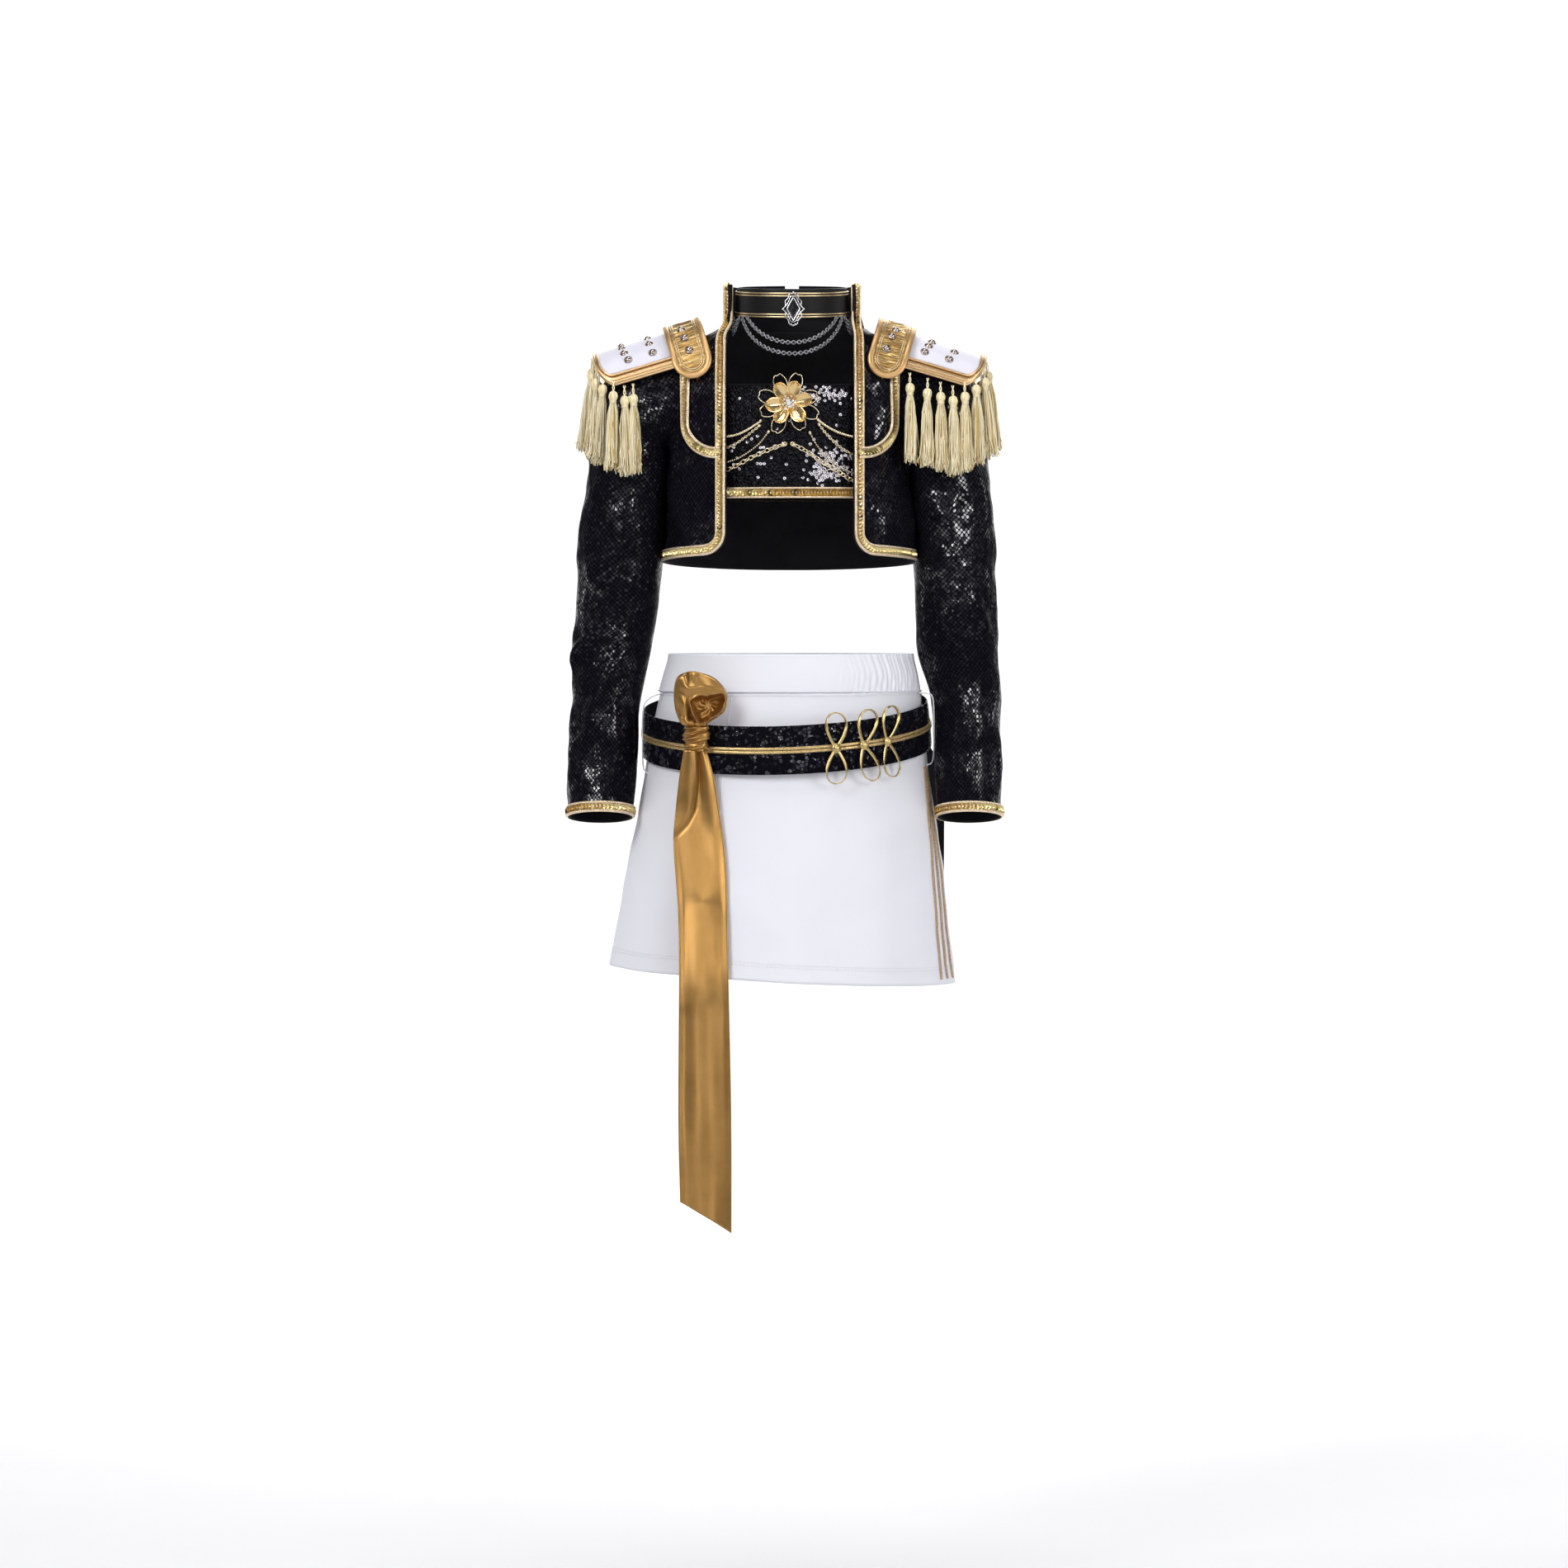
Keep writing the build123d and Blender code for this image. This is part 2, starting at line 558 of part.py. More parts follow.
def make_skirt():
    waist = [level(-WAISTBAND_H, 114.3, 80.8, 1), level(0, WAIST_A, WAIST_B, 2.5)]
    parts["waistband"] = tube(waist, CLOTH)
    cut = Pos(-6, 0, -SKIRT_LENGTH + 6) * Rot(HEM_PITCH, HEM_ROLL, 0) * Pos(0, 0, -100) * Box(500, 500, 200)
    shell = tube(SKIRT, CLOTH) & block((-FAR, FAR), (-FAR, FAR), (-FAR, -WAISTBAND_H))
    shell = shell - cut
    parts["skirt_front"] = biggest(shell & FRONT)
    parts["skirt_back"] = biggest(shell & BACK)

    # three stripes of braid down the wearer's left side seam, fanning out towards the hem
    skin = (solid_of(grown(SKIRT, 0.9)) - solid_of(SKIRT)) - cut
    stripes = []
    for top_y, low_y in ((-26, -44), (-22, -32), (-18, -20)):
        stops = [(top_y, -90), (low_y, -300), (low_y + 3.6, -300), (top_y + 2.6, -90)]
        side = Plane.YZ * make_face(Polyline(*stops, close=True))
        stripes.append(biggest(skin & extrude(side, 300)))
    parts["skirt_stripes"] = group(stripes)

    # thread loops that carry the belt, one at each side: (x, z) stops down the outside of the belt
    sides = ([(112.4, -27.5), (122.6, -32), (123.2, -85), (119, -91)], [(-110.4, -27.5), (-127.6, -38), (-128.6, -93), (-122.8, -99)])
    parts["belt_loops"] = group(wire_tube([(x, -22, z) for x, z in stops], 0.6) for stops in sides)


# ---- belt, frogs, bow and tails -------------------------------------------------------------------
def belt_section(dz, a, b):
    """Oval in the belt's tilted plane, dz above the belt's middle."""
    tilt = Rot(BELT_PITCH, BELT_ROLL, 0)
    n = (tilt * Pos(0, 0, 1)).position
    return ((-3, -3, BELT_Z + dz), a, b, (n.X, n.Y, n.Z))


BELT = [belt_section(-BELT_H / 2, 126.4, 101), belt_section(0, 125.2, 97.5), belt_section(BELT_H / 2, 124, 93.5)]


def belt_middle(by):
    half = 2.6
    return [
        belt_section(-half, 125.35 + by, 97.95 + by),
        belt_section(half, 125.05 + by, 97.0 + by),
    ]


def belt_front(x, dz=0.0, off=0.0):
    """Y and Z of the belt's outer face at x, dz above its middle line, off outside it."""
    b = 97.5 - 3.75 * dz / (BELT_H / 2)
    a = 125.2 - 1.2 * dz / (BELT_H / 2)
    y = -(b + off) * sqrt(1 - ((x + 3) / (a + off)) ** 2) * cos(radians(BELT_PITCH)) - 3
    z = BELT_Z + dz + (y + 3) * tan(radians(BELT_PITCH)) + (x + 3) * tan(radians(-BELT_ROLL))
    return y, z


FROG_X = (40, 64, 84.5)
FROG_R = 2.4


def frog(x):
    """Figure-eight loop of flat gilt strip with a ball at its crossing."""
    y, z = belt_front(x, 0, 5.0)
    turn = degrees(asin((x + 3) / 127)) * 1.0
    place = Pos(x, y, z) * Rot(0, 0, turn) * Rot(90, 0, 0)
    loops = []
    for s in (1, -1):
        ring = extrude(Ellipse(8.2, 13.6) - Ellipse(7.2, 12.6), 2.0)
        loops.append(place * Pos(0, s * 18.6, -1) * ring)
    ball = place * Sphere(FROG_R)
    stems = [place * Pos(0, s * 3.9, 0) * Box(2.6, 2.2, 1.0) for s in (1, -1)]
    return [*loops, ball, *stems]


BOW_X = -80
KNOT_RISE = 12.5            # the knot is tied over the belt's upper edge


def make_belt():
    parts["belt_band"] = tube(BELT, 1.8)
    gilt = solid_of(belt_middle(0.9)) - solid_of(grown(BELT, 0.0))
    parts["belt_piping"] = biggest(gilt)
    parts["belt_frogs"] = group(s for x in FROG_X for s in frog(x))

    y_knot, z_belt = belt_front(BOW_X, 0, 1.2)
    z_knot = z_belt + KNOT_RISE
    turn = degrees(asin((BOW_X + 3) / 127))
    knot_place = Pos(BOW_X, y_knot - 9.8, z_knot) * Rot(0, 0, turn * 0.6)
    knot = knot_place * extrude(Ellipse(12.5, 8.2), 11.5, both=True)
    parts["bow_knot"] = fillet(knot.edges(), 3.5)
    loop_z = z_knot + 11.5 + 22.6
    ring = Ellipse(21.5, 22.4) - Ellipse(17.5, 18.4)
    loop = extrude(Plane.XZ * ring, 11, both=True)
    parts["bow_loop"] = Pos(BOW_X + 4, y_knot - 16, loop_z) * loop
    return y_knot - 9.5, z_knot


RIBBON_W = 43
RIBBON_END = -487


def strip(path, thick):
    """Thin strip following (y, z) stops, as a face on the YZ plane."""
    back = [(y - thick, z) for y, z in reversed(path)]
    return Plane.YZ * make_face(Polyline(*path, *back, close=True))


def make_tails(y_knot, z_knot):
    top = z_knot - 12.2
    path = [(y_knot + 0.5, top), (-91.5, -137), (-102.5, -200), (-117, -284), (-118.5, -360), (-117.5, RIBBON_END)]
    body = Pos(BOW_X - 60, 0, 0) * extrude(strip(path, 1.0), 120)
    shape = [(-87, top), (-98, -137), (-95, -221), (-93, RIBBON_END + 25), (-50, RIBBON_END), (-53, -221), (-60, -137), (-73, top)]
    parts["ribbon_tail"] = biggest(body & along_y(xz(shape)))

    # black tail at the back, hanging from the belt on the wearer's left
    stops = [(89, -56), (100, -110), (111, -175), (119, -252)]
    back = Pos(60, 0, 0) * extrude(strip(stops, -1.6), 120)
    outline = [(70, -50), (68, -252), (138, -244), (138, -80), (122, -50)]
    parts["back_tail"] = biggest(back & along_y(xz(outline)))


def main():
    make_bandeau()
    make_brooch()
    make_strands()
    make_choker()
    make_pendant()
    make_swags()
    make_collar(make_jacket(make_sleeves()))
    make_epaulettes()
    make_skirt()
    y_knot, z_knot = make_belt()
    make_tails(y_knot, z_knot)
    os.makedirs("parts", exist_ok=True)
    for name, shape in parts.items():
        export_step(shape, f"parts/{name}.step")


main()
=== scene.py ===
"""Looks of the stage-cheer uniform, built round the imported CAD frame.

Lengths are written in millimetres and turned into metres when a mesh is made.  +Z is up, the wearer faces -Y
and the wearer's left is +X.
"""

import math

import bpy
import numpy as np
from mathutils import Matrix, Vector


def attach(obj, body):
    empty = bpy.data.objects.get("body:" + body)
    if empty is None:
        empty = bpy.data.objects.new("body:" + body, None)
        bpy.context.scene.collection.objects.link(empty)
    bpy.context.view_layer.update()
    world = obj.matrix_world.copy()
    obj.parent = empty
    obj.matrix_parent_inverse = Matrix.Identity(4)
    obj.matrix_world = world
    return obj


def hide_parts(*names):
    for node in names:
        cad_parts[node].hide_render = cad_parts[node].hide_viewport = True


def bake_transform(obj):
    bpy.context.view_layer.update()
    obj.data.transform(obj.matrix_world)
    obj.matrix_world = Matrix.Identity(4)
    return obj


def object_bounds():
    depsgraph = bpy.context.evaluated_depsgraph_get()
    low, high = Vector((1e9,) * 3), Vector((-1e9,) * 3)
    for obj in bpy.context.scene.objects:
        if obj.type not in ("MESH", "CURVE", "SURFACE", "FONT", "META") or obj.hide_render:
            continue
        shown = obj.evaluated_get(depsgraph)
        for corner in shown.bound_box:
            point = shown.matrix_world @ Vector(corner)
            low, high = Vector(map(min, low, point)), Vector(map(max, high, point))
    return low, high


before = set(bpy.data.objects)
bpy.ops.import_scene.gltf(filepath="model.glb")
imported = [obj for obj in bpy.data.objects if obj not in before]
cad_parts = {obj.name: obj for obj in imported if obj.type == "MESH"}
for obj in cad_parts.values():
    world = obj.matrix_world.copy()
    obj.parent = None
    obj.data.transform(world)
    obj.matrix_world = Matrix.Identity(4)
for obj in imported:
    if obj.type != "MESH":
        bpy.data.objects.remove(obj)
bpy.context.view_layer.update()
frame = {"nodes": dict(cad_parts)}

MM = 0.001
TAU = 2 * math.pi
SIDES = ("left", "right")


def sign_of(side):
    return 1.0 if side == "left" else -1.0


# ================================================================================================
# materials
# ================================================================================================
class Nodes:
    """A material's node tree with short helpers."""

    def __init__(self, name):
        self.mat = bpy.data.materials.new(name)
        self.mat.use_nodes = True
        self.tree = self.mat.node_tree
        self.tree.nodes.clear()
        self.out = self.add("ShaderNodeOutputMaterial")
        self.bsdf = self.add("ShaderNodeBsdfPrincipled")
        self.link(self.bsdf.outputs["BSDF"], self.out.inputs["Surface"])

    def add(self, kind, **values):
        node = self.tree.nodes.new(kind)
        for key, value in values.items():
            setattr(node, key, value)
        return node

    def link(self, a, b):
        self.tree.links.new(a, b)

    def put(self, socket, value):
        """Sets a socket from a number, a tuple or another node's output."""
        if isinstance(value, bpy.types.NodeSocket):
            self.link(value, socket)
        else:
            socket.default_value = value

    def math(self, op, a, b=0.0, c=0.0, clamp=False):
        node = self.add("ShaderNodeMath", operation=op, use_clamp=clamp)
        for i, value in enumerate((a, b, c)):
            self.put(node.inputs[i], value)
        return node.outputs[0]

    def combine(self, x, y, z=0.0):
        node = self.add("ShaderNodeCombineXYZ")
        for i, value in enumerate((x, y, z)):
            self.put(node.inputs[i], value)
        return node.outputs[0]

    def object_coords(self):
        return self.add("ShaderNodeTexCoord").outputs["Object"]

    def uv(self):
        node = self.add("ShaderNodeSeparateXYZ")
        self.link(self.add("ShaderNodeTexCoord").outputs["UV"], node.inputs[0])
        return node.outputs[0], node.outputs[1]

    def noise(self, scale, detail=3.0, rough=0.55, coords=None):
        node = self.add("ShaderNodeTexNoise")
        self.put(node.inputs["Vector"], coords or self.object_coords())
        for key, value in (("Scale", scale), ("Detail", detail), ("Roughness", rough)):
            node.inputs[key].default_value = value
        return node.outputs["Fac"]

    def random(self, coords):
        node = self.add("ShaderNodeTexWhiteNoise", noise_dimensions="3D")
        self.link(coords, node.inputs["Vector"])
        return node.outputs["Value"], node.outputs["Color"]

    def mix(self, fac, a, b):
        node = self.add("ShaderNodeMix", data_type="RGBA")
        self.put(node.inputs[0], fac)
        self.put(node.inputs[6], a)
        self.put(node.inputs[7], b)
        return node.outputs[2]

    def ramp(self, value, stops):
        node = self.add("ShaderNodeValToRGB")
        self.link(value, node.inputs[0])
        ramp = node.color_ramp
        while len(ramp.elements) < len(stops):
            ramp.elements.new(0.5)
        for element, (at, color) in zip(ramp.elements, stops):
            element.position = at
            element.color = (*color, 1.0) if len(color) == 3 else color
        return node.outputs[0]

    def between(self, value, low, high, out_low=0.0, out_high=1.0):
        node = self.add("ShaderNodeMapRange")
        for i, v in enumerate((value, low, high, out_low, out_high)):
            self.put(node.inputs[i], v)
        return node.outputs[0]

    def bump(self, height, strength, distance, normal=None):
        node = self.add("ShaderNodeBump")
        node.inputs["Strength"].default_value = strength
        node.inputs["Distance"].default_value = distance
        self.link(height, node.inputs["Height"])
        if normal is not None:
            self.link(normal, node.inputs["Normal"])
        return node.outputs[0]

    def set(self, **values):
        names = {
            "color": "Base Color", "rough": "Roughness", "metal": "Metallic", "normal": "Normal", "ior": "IOR",
            "sheen": "Sheen Weight", "sheen_rough": "Sheen Roughness", "sheen_tint": "Sheen Tint",
                "coat": "Coat Weight",
            "coat_rough": "Coat Roughness", "specular": "Specular IOR Level", "aniso": "Anisotropic",
            "trans": "Transmission Weight", "subsurface": "Subsurface Weight",
        }
        for key, value in values.items():
            if key in ("color", "sheen_tint") and isinstance(value, tuple) and len(value) == 3:
                value = (*value, 1.0)
            self.put(self.bsdf.inputs[names[key]], value)
        return self


def scale_cloth(name, pitch_u=3.9, pitch_v=4.3, base=(0.006, 0.006, 0.009), jitter=0.10, painted_glint_share=0.02):
    """Black knit printed with a lattice of small glossy foil scales; UVs are millimetres on the cloth."""
    n = Nodes(name)
    u, v = n.uv()
    wander = n.add("ShaderNodeTexNoise")
    n.link(n.combine(u, v), wander.inputs["Vector"])
    wander.inputs["Scale"].default_value = 0.11
    shift = n.math("MULTIPLY", n.math("SUBTRACT", wander.outputs["Fac"], 0.5), jitter * 10)
    us, vs = n.math("ADD", n.math("DIVIDE", u, pitch_u), shift), n.math("ADD", n.math("DIVIDE", v, pitch_v), shift)
    a, b = n.math("ADD", us, vs), n.math("SUBTRACT", us, vs)
    cell = n.combine(n.math("FLOOR", a), n.math("FLOOR", b))
    la = n.math("SUBTRACT", n.math("FRACT", a), 0.5)
    lb = n.math("SUBTRACT", n.math("FRACT", b), 0.5)
    pa = n.math("POWER", n.math("ABSOLUTE", la), 3.0)
    pb = n.math("POWER", n.math("ABSOLUTE", lb), 3.0)
    reach = n.math("POWER", n.math("ADD", pa, pb), 1 / 3)
    foil = n.between(reach, 0.46, 0.37)
    value, color = n.random(cell)
    split = n.add("ShaderNodeSeparateColor")
    n.link(color, split.inputs[0])
    tilt_a = n.math("MULTIPLY", n.math("SUBTRACT", split.outputs[0], 0.5), la)
    tilt_b = n.math("MULTIPLY", n.math("SUBTRACT", split.outputs[1], 0.5), lb)
    dome = n.math("SQRT", n.math("MAXIMUM", n.math("SUBTRACT", 0.25, n.math("MULTIPLY", reach, reach)), 0.0))
    facet = n.math("ADD", n.math("MULTIPLY", dome, 0.07), n.math("MULTIPLY", n.math("ADD", tilt_a, tilt_b), 0.24))
    height = n.math("MULTIPLY", facet, foil)
    weave = n.noise(1400, 2)
    height = n.math("ADD", height, n.math("MULTIPLY", weave, 0.012))
    bare = n.between(n.noise(19, 2), 0.43, 0.53)
    shine = n.math("MULTIPLY", foil, n.math("SUBTRACT", 1.0, n.math("MULTIPLY", bare, 0.85)))
    shine = n.math("MULTIPLY", shine, n.between(value, 0.0, 1.0, 0.2, 1.0))
    dark = tuple(c * 0.45 for c in base)
    shade = n.mix(value, (*base, 1.0), (0.011, 0.011, 0.017, 1.0))
    # painted glint: in noise patches a share of the foil cells get a lighter grey base colour
    lit = n.math("MULTIPLY", n.between(split.outputs[2], 0.80, 0.98), n.between(n.noise(14, 2), 0.48, 0.62))
    shade = n.mix(n.math("MULTIPLY", lit, painted_glint_share * 10), shade, (0.16, 0.16, 0.19, 1.0))
    n.set(
        color=n.mix(foil, (*dark, 1.0), shade),
        rough=n.between(foil, 0, 1, 0.60, 0.12),
        ior=n.between(shine, 0, 1, 1.12, 1.95),
        specular=n.between(shine, 0, 1, 0.04, 0.60),
        normal=n.bump(height, 0.9, 0.0013, n.bump(n.noise(40, 1), 1.0, 0.0024)),
    )
    return n.mat


def snake_cloth(name, size=3.3):
    """Black foil cloth in small uneven polygons like snake skin; UVs are millimetres on the cloth."""
    n = Nodes(name)
    at = n.combine(*n.uv())
    cells, rims = n.add("ShaderNodeTexVoronoi"), n.add("ShaderNodeTexVoronoi")
    rims.feature = "DISTANCE_TO_EDGE"
    for node in (cells, rims):
        n.link(at, node.inputs["Vector"])
        node.inputs["Scale"].default_value = 1 / size
    split = n.add("ShaderNodeSeparateColor")
    n.link(cells.outputs["Color"], split.inputs[0])
    foil = n.between(rims.outputs["Distance"], 0.05, 0.13)
    hot = n.math("MULTIPLY", foil, n.between(split.outputs[0], 0.45, 1.0))
    # painted glint: in noise patches the shinier cells get a lighter grey base colour
    lit = n.math("MULTIPLY", hot, n.between(n.noise(20, 3), 0.50, 0.66))
    n.set(
        color=n.mix(lit, (0.005, 0.005, 0.008, 1.0), (0.10, 0.10, 0.13, 1.0)),
        rough=n.between(foil, 0, 1, 0.6, 0.18), ior=n.between(hot, 0, 1, 1.15, 1.8),
            specular=n.between(hot, 0, 1, 0.05, 0.6),
        normal=n.bump(n.math("MULTIPLY", foil, n.math("ADD", split.outputs[1], cells.outputs["Distance"])), 0.7,
            0.0008, n.bump(n.noise(60, 2), 1.0, 0.002)),
    )
    return n.mat


def plain_cloth(name, color, rough=0.8, grain=900, bump=0.25, sheen=0.15, twill=0.0, stain=0.06, specular=0.5):
    """Woven or knitted cloth: fine grain, an optional twill line and a little unevenness of tone."""
    n = Nodes(name)
    grains = n.noise(grain, 2)
    height = grains
    if twill:
        u, v = n.uv()
        line = n.math("SINE", n.math("MULTIPLY", n.math("ADD", u, n.math("MULTIPLY", v, 1.7)), TAU / twill))
        height = n.math("ADD", n.math("MULTIPLY", line, 0.3), n.math("MULTIPLY", grains, 0.5))
    tone = n.noise(30, 4)
    darker = tuple(c * (1 - stain) for c in color)
    n.set(
        color=n.mix(tone, (*darker, 1.0), (*color, 1.0)), rough=rough, normal=n.bump(height, bump, 0.0004),
        sheen=sheen, sheen_rough=0.5, specular=specular,
    )
    return n.mat


def metal(name, color, rough=0.22, grime=0.12, scale=180, bump=0.08, dark=None):
    n = Nodes(name)
    spots = n.noise(scale, 5)
    n.set(
        color=n.mix(spots, (*(dark or tuple(c * 0.78 for c in color)), 1.0), (*color, 1.0)),
        metal=1.0,
        rough=n.between(spots, 0.3, 0.7, rough, rough + grime),
        normal=n.bump(spots, bump, 0.0003),
    )
    return n.mat


def glitter(name, color, dark, scale=1500):
    """Metallic yarn and glitter: every grain faces its own way."""
    n = Nodes(name)
    cells = n.add("ShaderNodeTexVoronoi")
    n.link(n.object_coords(), cells.inputs["Vector"])
    cells.inputs["Scale"].default_value = scale
    split = n.add("ShaderNodeSeparateColor")
    n.link(cells.outputs["Color"], split.inputs[0])
    n.set(
        color=n.mix(split.outputs[0], (*dark, 1.0), (*color, 1.0)), metal=0.85,
        rough=n.between(split.outputs[1], 0, 1, 0.25, 0.55), normal=n.bump(split.outputs[2], 0.7, 0.0004),
    )
    return n.mat


def satin(name, color, dark, rough=0.34):
    n = Nodes(name)
    u, _ = n.uv()
    thread = n.math("SINE", n.math("MULTIPLY", u, TAU / 0.5))
    slub = n.noise(60, 3)
    fine = n.noise(700, 2)
    n.set(
        color=n.mix(slub, (*dark, 1.0), (*color, 1.0)), rough=n.between(slub, 0.3, 0.7, rough, rough + 0.08),
            metal=0.82, coat=0.32, coat_rough=0.30,
        normal=n.bump(n.math("ADD", n.math("MULTIPLY", thread, 0.15), fine), 0.08, 0.0003), sheen=0.06,
            sheen_rough=0.35,
        aniso=0.5,
    )
    return n.mat


def leather(name, color, rough=0.42, metallic=0.0, grain=520, bump=0.22, dark=None):
    n = Nodes(name)
    cells = n.add("ShaderNodeTexVoronoi", feature="DISTANCE_TO_EDGE")
    n.link(n.object_coords(), cells.inputs["Vector"])
    cells.inputs["Scale"].default_value = grain
    pores = n.between(cells.outputs["Distance"], 0.0, 0.14)
    tone = n.noise(45, 4)
    n.set(
        color=n.mix(tone, (*(dark or tuple(c * 0.93 for c in color)), 1.0), (*color, 1.0)), metal=metallic,
        rough=n.between(tone, 0.3, 0.7, rough - 0.05, rough + 0.08), normal=n.bump(pores, bump, 0.0003), coat=0.12,
        coat_rough=0.35,
    )
    return n.mat


def pleated_gold(name):
    n = Nodes(name)
    u, v = n.uv()
    streak = n.add("ShaderNodeTexNoise")
    n.link(n.combine(n.math("MULTIPLY", u, 0.03), n.math("MULTIPLY", v, 0.75)), streak.inputs["Vector"])
    streak.inputs["Scale"].default_value = 1.0
    streak.inputs["Detail"].default_value = 4
    s = streak.outputs["Fac"]
    n.set(
        color=n.ramp(s, [(0.3, (0.23, 0.12, 0.03)), (0.5, (0.52, 0.32, 0.11)), (0.7, (0.86, 0.66, 0.36))]), metal=0.9,
        rough=n.between(s, 0.3, 0.7, 0.38, 0.2), normal=n.bump(s, 0.55, 0.0012),
    )
    return n.mat


def thread_mat(name, color, dark, rough=0.42):
    n = Nodes(name)
    tone = n.noise(260, 3)
    n.set(
        color=n.mix(tone, (*dark, 1.0), (*color, 1.0)), rough=rough, metal=0.25, sheen=0.3, sheen_rough=0.4,
        normal=n.bump(n.noise(2400, 2), 0.2, 0.0002),
    )
    return n.mat


def crystal(name):
    n = Nodes(name)
    n.set(color=(0.93, 0.93, 0.96), rough=n.between(n.noise(200), 0.3, 0.7, 0.04, 0.12), specular=0.8, coat=1.0,
        coat_rough=0.05, trans=0.15)
    return n.mat


BLACK_SCALE = scale_cloth("black_scale")
BELT_SCALE = snake_cloth("black_scale_belt")
LINING = plain_cloth("black_lining", (0.004, 0.004, 0.006), 0.75, 700, 0.3, 0.0, specular=0.2)
KNIT = plain_cloth("black_knit", (0.003, 0.003, 0.004), 0.8, 800, 0.5, 0.0, specular=0.15)
VELVET = plain_cloth("black_ribbon", (0.002, 0.002, 0.003), 0.5, 1200, 0.3, 0.0, specular=0.22)
RING = metal("ring_sequin", (0.026, 0.026, 0.032), 0.14, 0.1, 500, 0.2, (0.008, 0.008, 0.010))
# light silvery ring sequin colour, used for painted glints on the bandeau
RING_PAINTED_GLINT = metal("ring_sequin_painted_glint", (0.92, 0.88, 0.93), 0.34, 0.12, 500)
GOLD_SEQUIN = metal("gold_sequin", (0.80, 0.66, 0.33), 0.24, 0.16, 420, 0.2, (0.60, 0.46, 0.18))
GOLD_GLITTER = glitter("gold_glitter", (1.0, 0.90, 0.70), (0.80, 0.58, 0.36))
GOLD_CORD = glitter("gold_cord", (0.86, 0.66, 0.34), (0.45, 0.29, 0.10), 1900)
GILT = metal("gilt", (0.92, 0.68, 0.34), 0.16, 0.10, 240)
FROG_GILT = metal("gilt_strip", (0.70, 0.53, 0.24), 0.24, 0.14, 300)
DARK_METAL = metal("dark_metal", (0.42, 0.42, 0.45), 0.22, 0.16, 400, 0.15, (0.16, 0.16, 0.17))
SILVER = metal("silver", (0.86, 0.86, 0.88), 0.12, 0.12, 300)
STUD = metal("stud_metal", (0.46, 0.38, 0.34), 0.10, 0.06, 200)
# darkened gold sequin colour, used for painted dark reflections on the trims
SEQUIN_PAINTED_REFLECTION = metal("gold_sequin_painted_reflection", (0.34, 0.27, 0.10), 0.16, 0.14, 420, 0.2, (0.12, 0.10, 0.04))
CHAMPAGNE = metal("champagne_metal", (0.96, 0.82, 0.58), 0.2, 0.14, 300)
GOLD_LINE = metal("gold_line", (0.88, 0.70, 0.42), 0.24, 0.14, 700, 0.3)
PIPING = metal("gold_piping", (0.84, 0.62, 0.36), 0.26, 0.16, 500, 0.25, (0.66, 0.43, 0.21))
GOLD_STRIPE = glitter("gold_stripe", (0.78, 0.62, 0.44), (0.45, 0.30, 0.18), 2200)
BLACK_RIBBON = plain_cloth("black_sash", (0.004, 0.004, 0.005), 0.62, 900, 0.25, 0.0, specular=0.12)
STONE = Nodes("black_stone").set(color=(0.006, 0.006, 0.008), rough=0.08, coat=1.0, coat_rough=0.04).mat
CRYSTAL = crystal("crystal")
WHITE = plain_cloth("white_cloth", (0.89, 0.89, 0.955), 0.82, 1100, 0.22, 0.1, 0.9, 0.02)
WHITE_THREAD = plain_cloth("white_thread", (0.86, 0.86, 0.88), 0.7, 2000, 0.3)
WHITE_LEATHER = leather("white_leather", (0.84, 0.83, 0.93), 0.4)
GOLD_LEATHER = leather("gold_leather", (0.66, 0.42, 0.19), 0.34, 0.75, 620, 0.25, (0.50, 0.29, 0.11))
PLEATS = pleated_gold("gold_pleats")
SATIN = satin("gold_satin", (0.45, 0.245, 0.064), (0.31, 0.158, 0.036), 0.29)
# the thread in three copies: plain, lighter for painted highlights and darker for painted shade between threads
TASSEL = thread_mat("tassel_thread", (1.0, 0.91, 0.64), (0.90, 0.75, 0.44))
TASSEL_PAINTED_HIGHLIGHT = thread_mat("tassel_thread_painted_highlight", (1.0, 0.95, 0.76), (0.96, 0.86, 0.58), 0.32)
TASSEL_PAINTED_SHADE = thread_mat("tassel_thread_painted_shade", (0.66, 0.50, 0.22), (0.44, 0.30, 0.10))


# ================================================================================================
# mesh helpers
# ================================================================================================
def unit(v):
    v = np.asarray(v, float)
    return v / np.maximum(np.linalg.norm(v, axis=-1, keepdims=True), 1e-12)


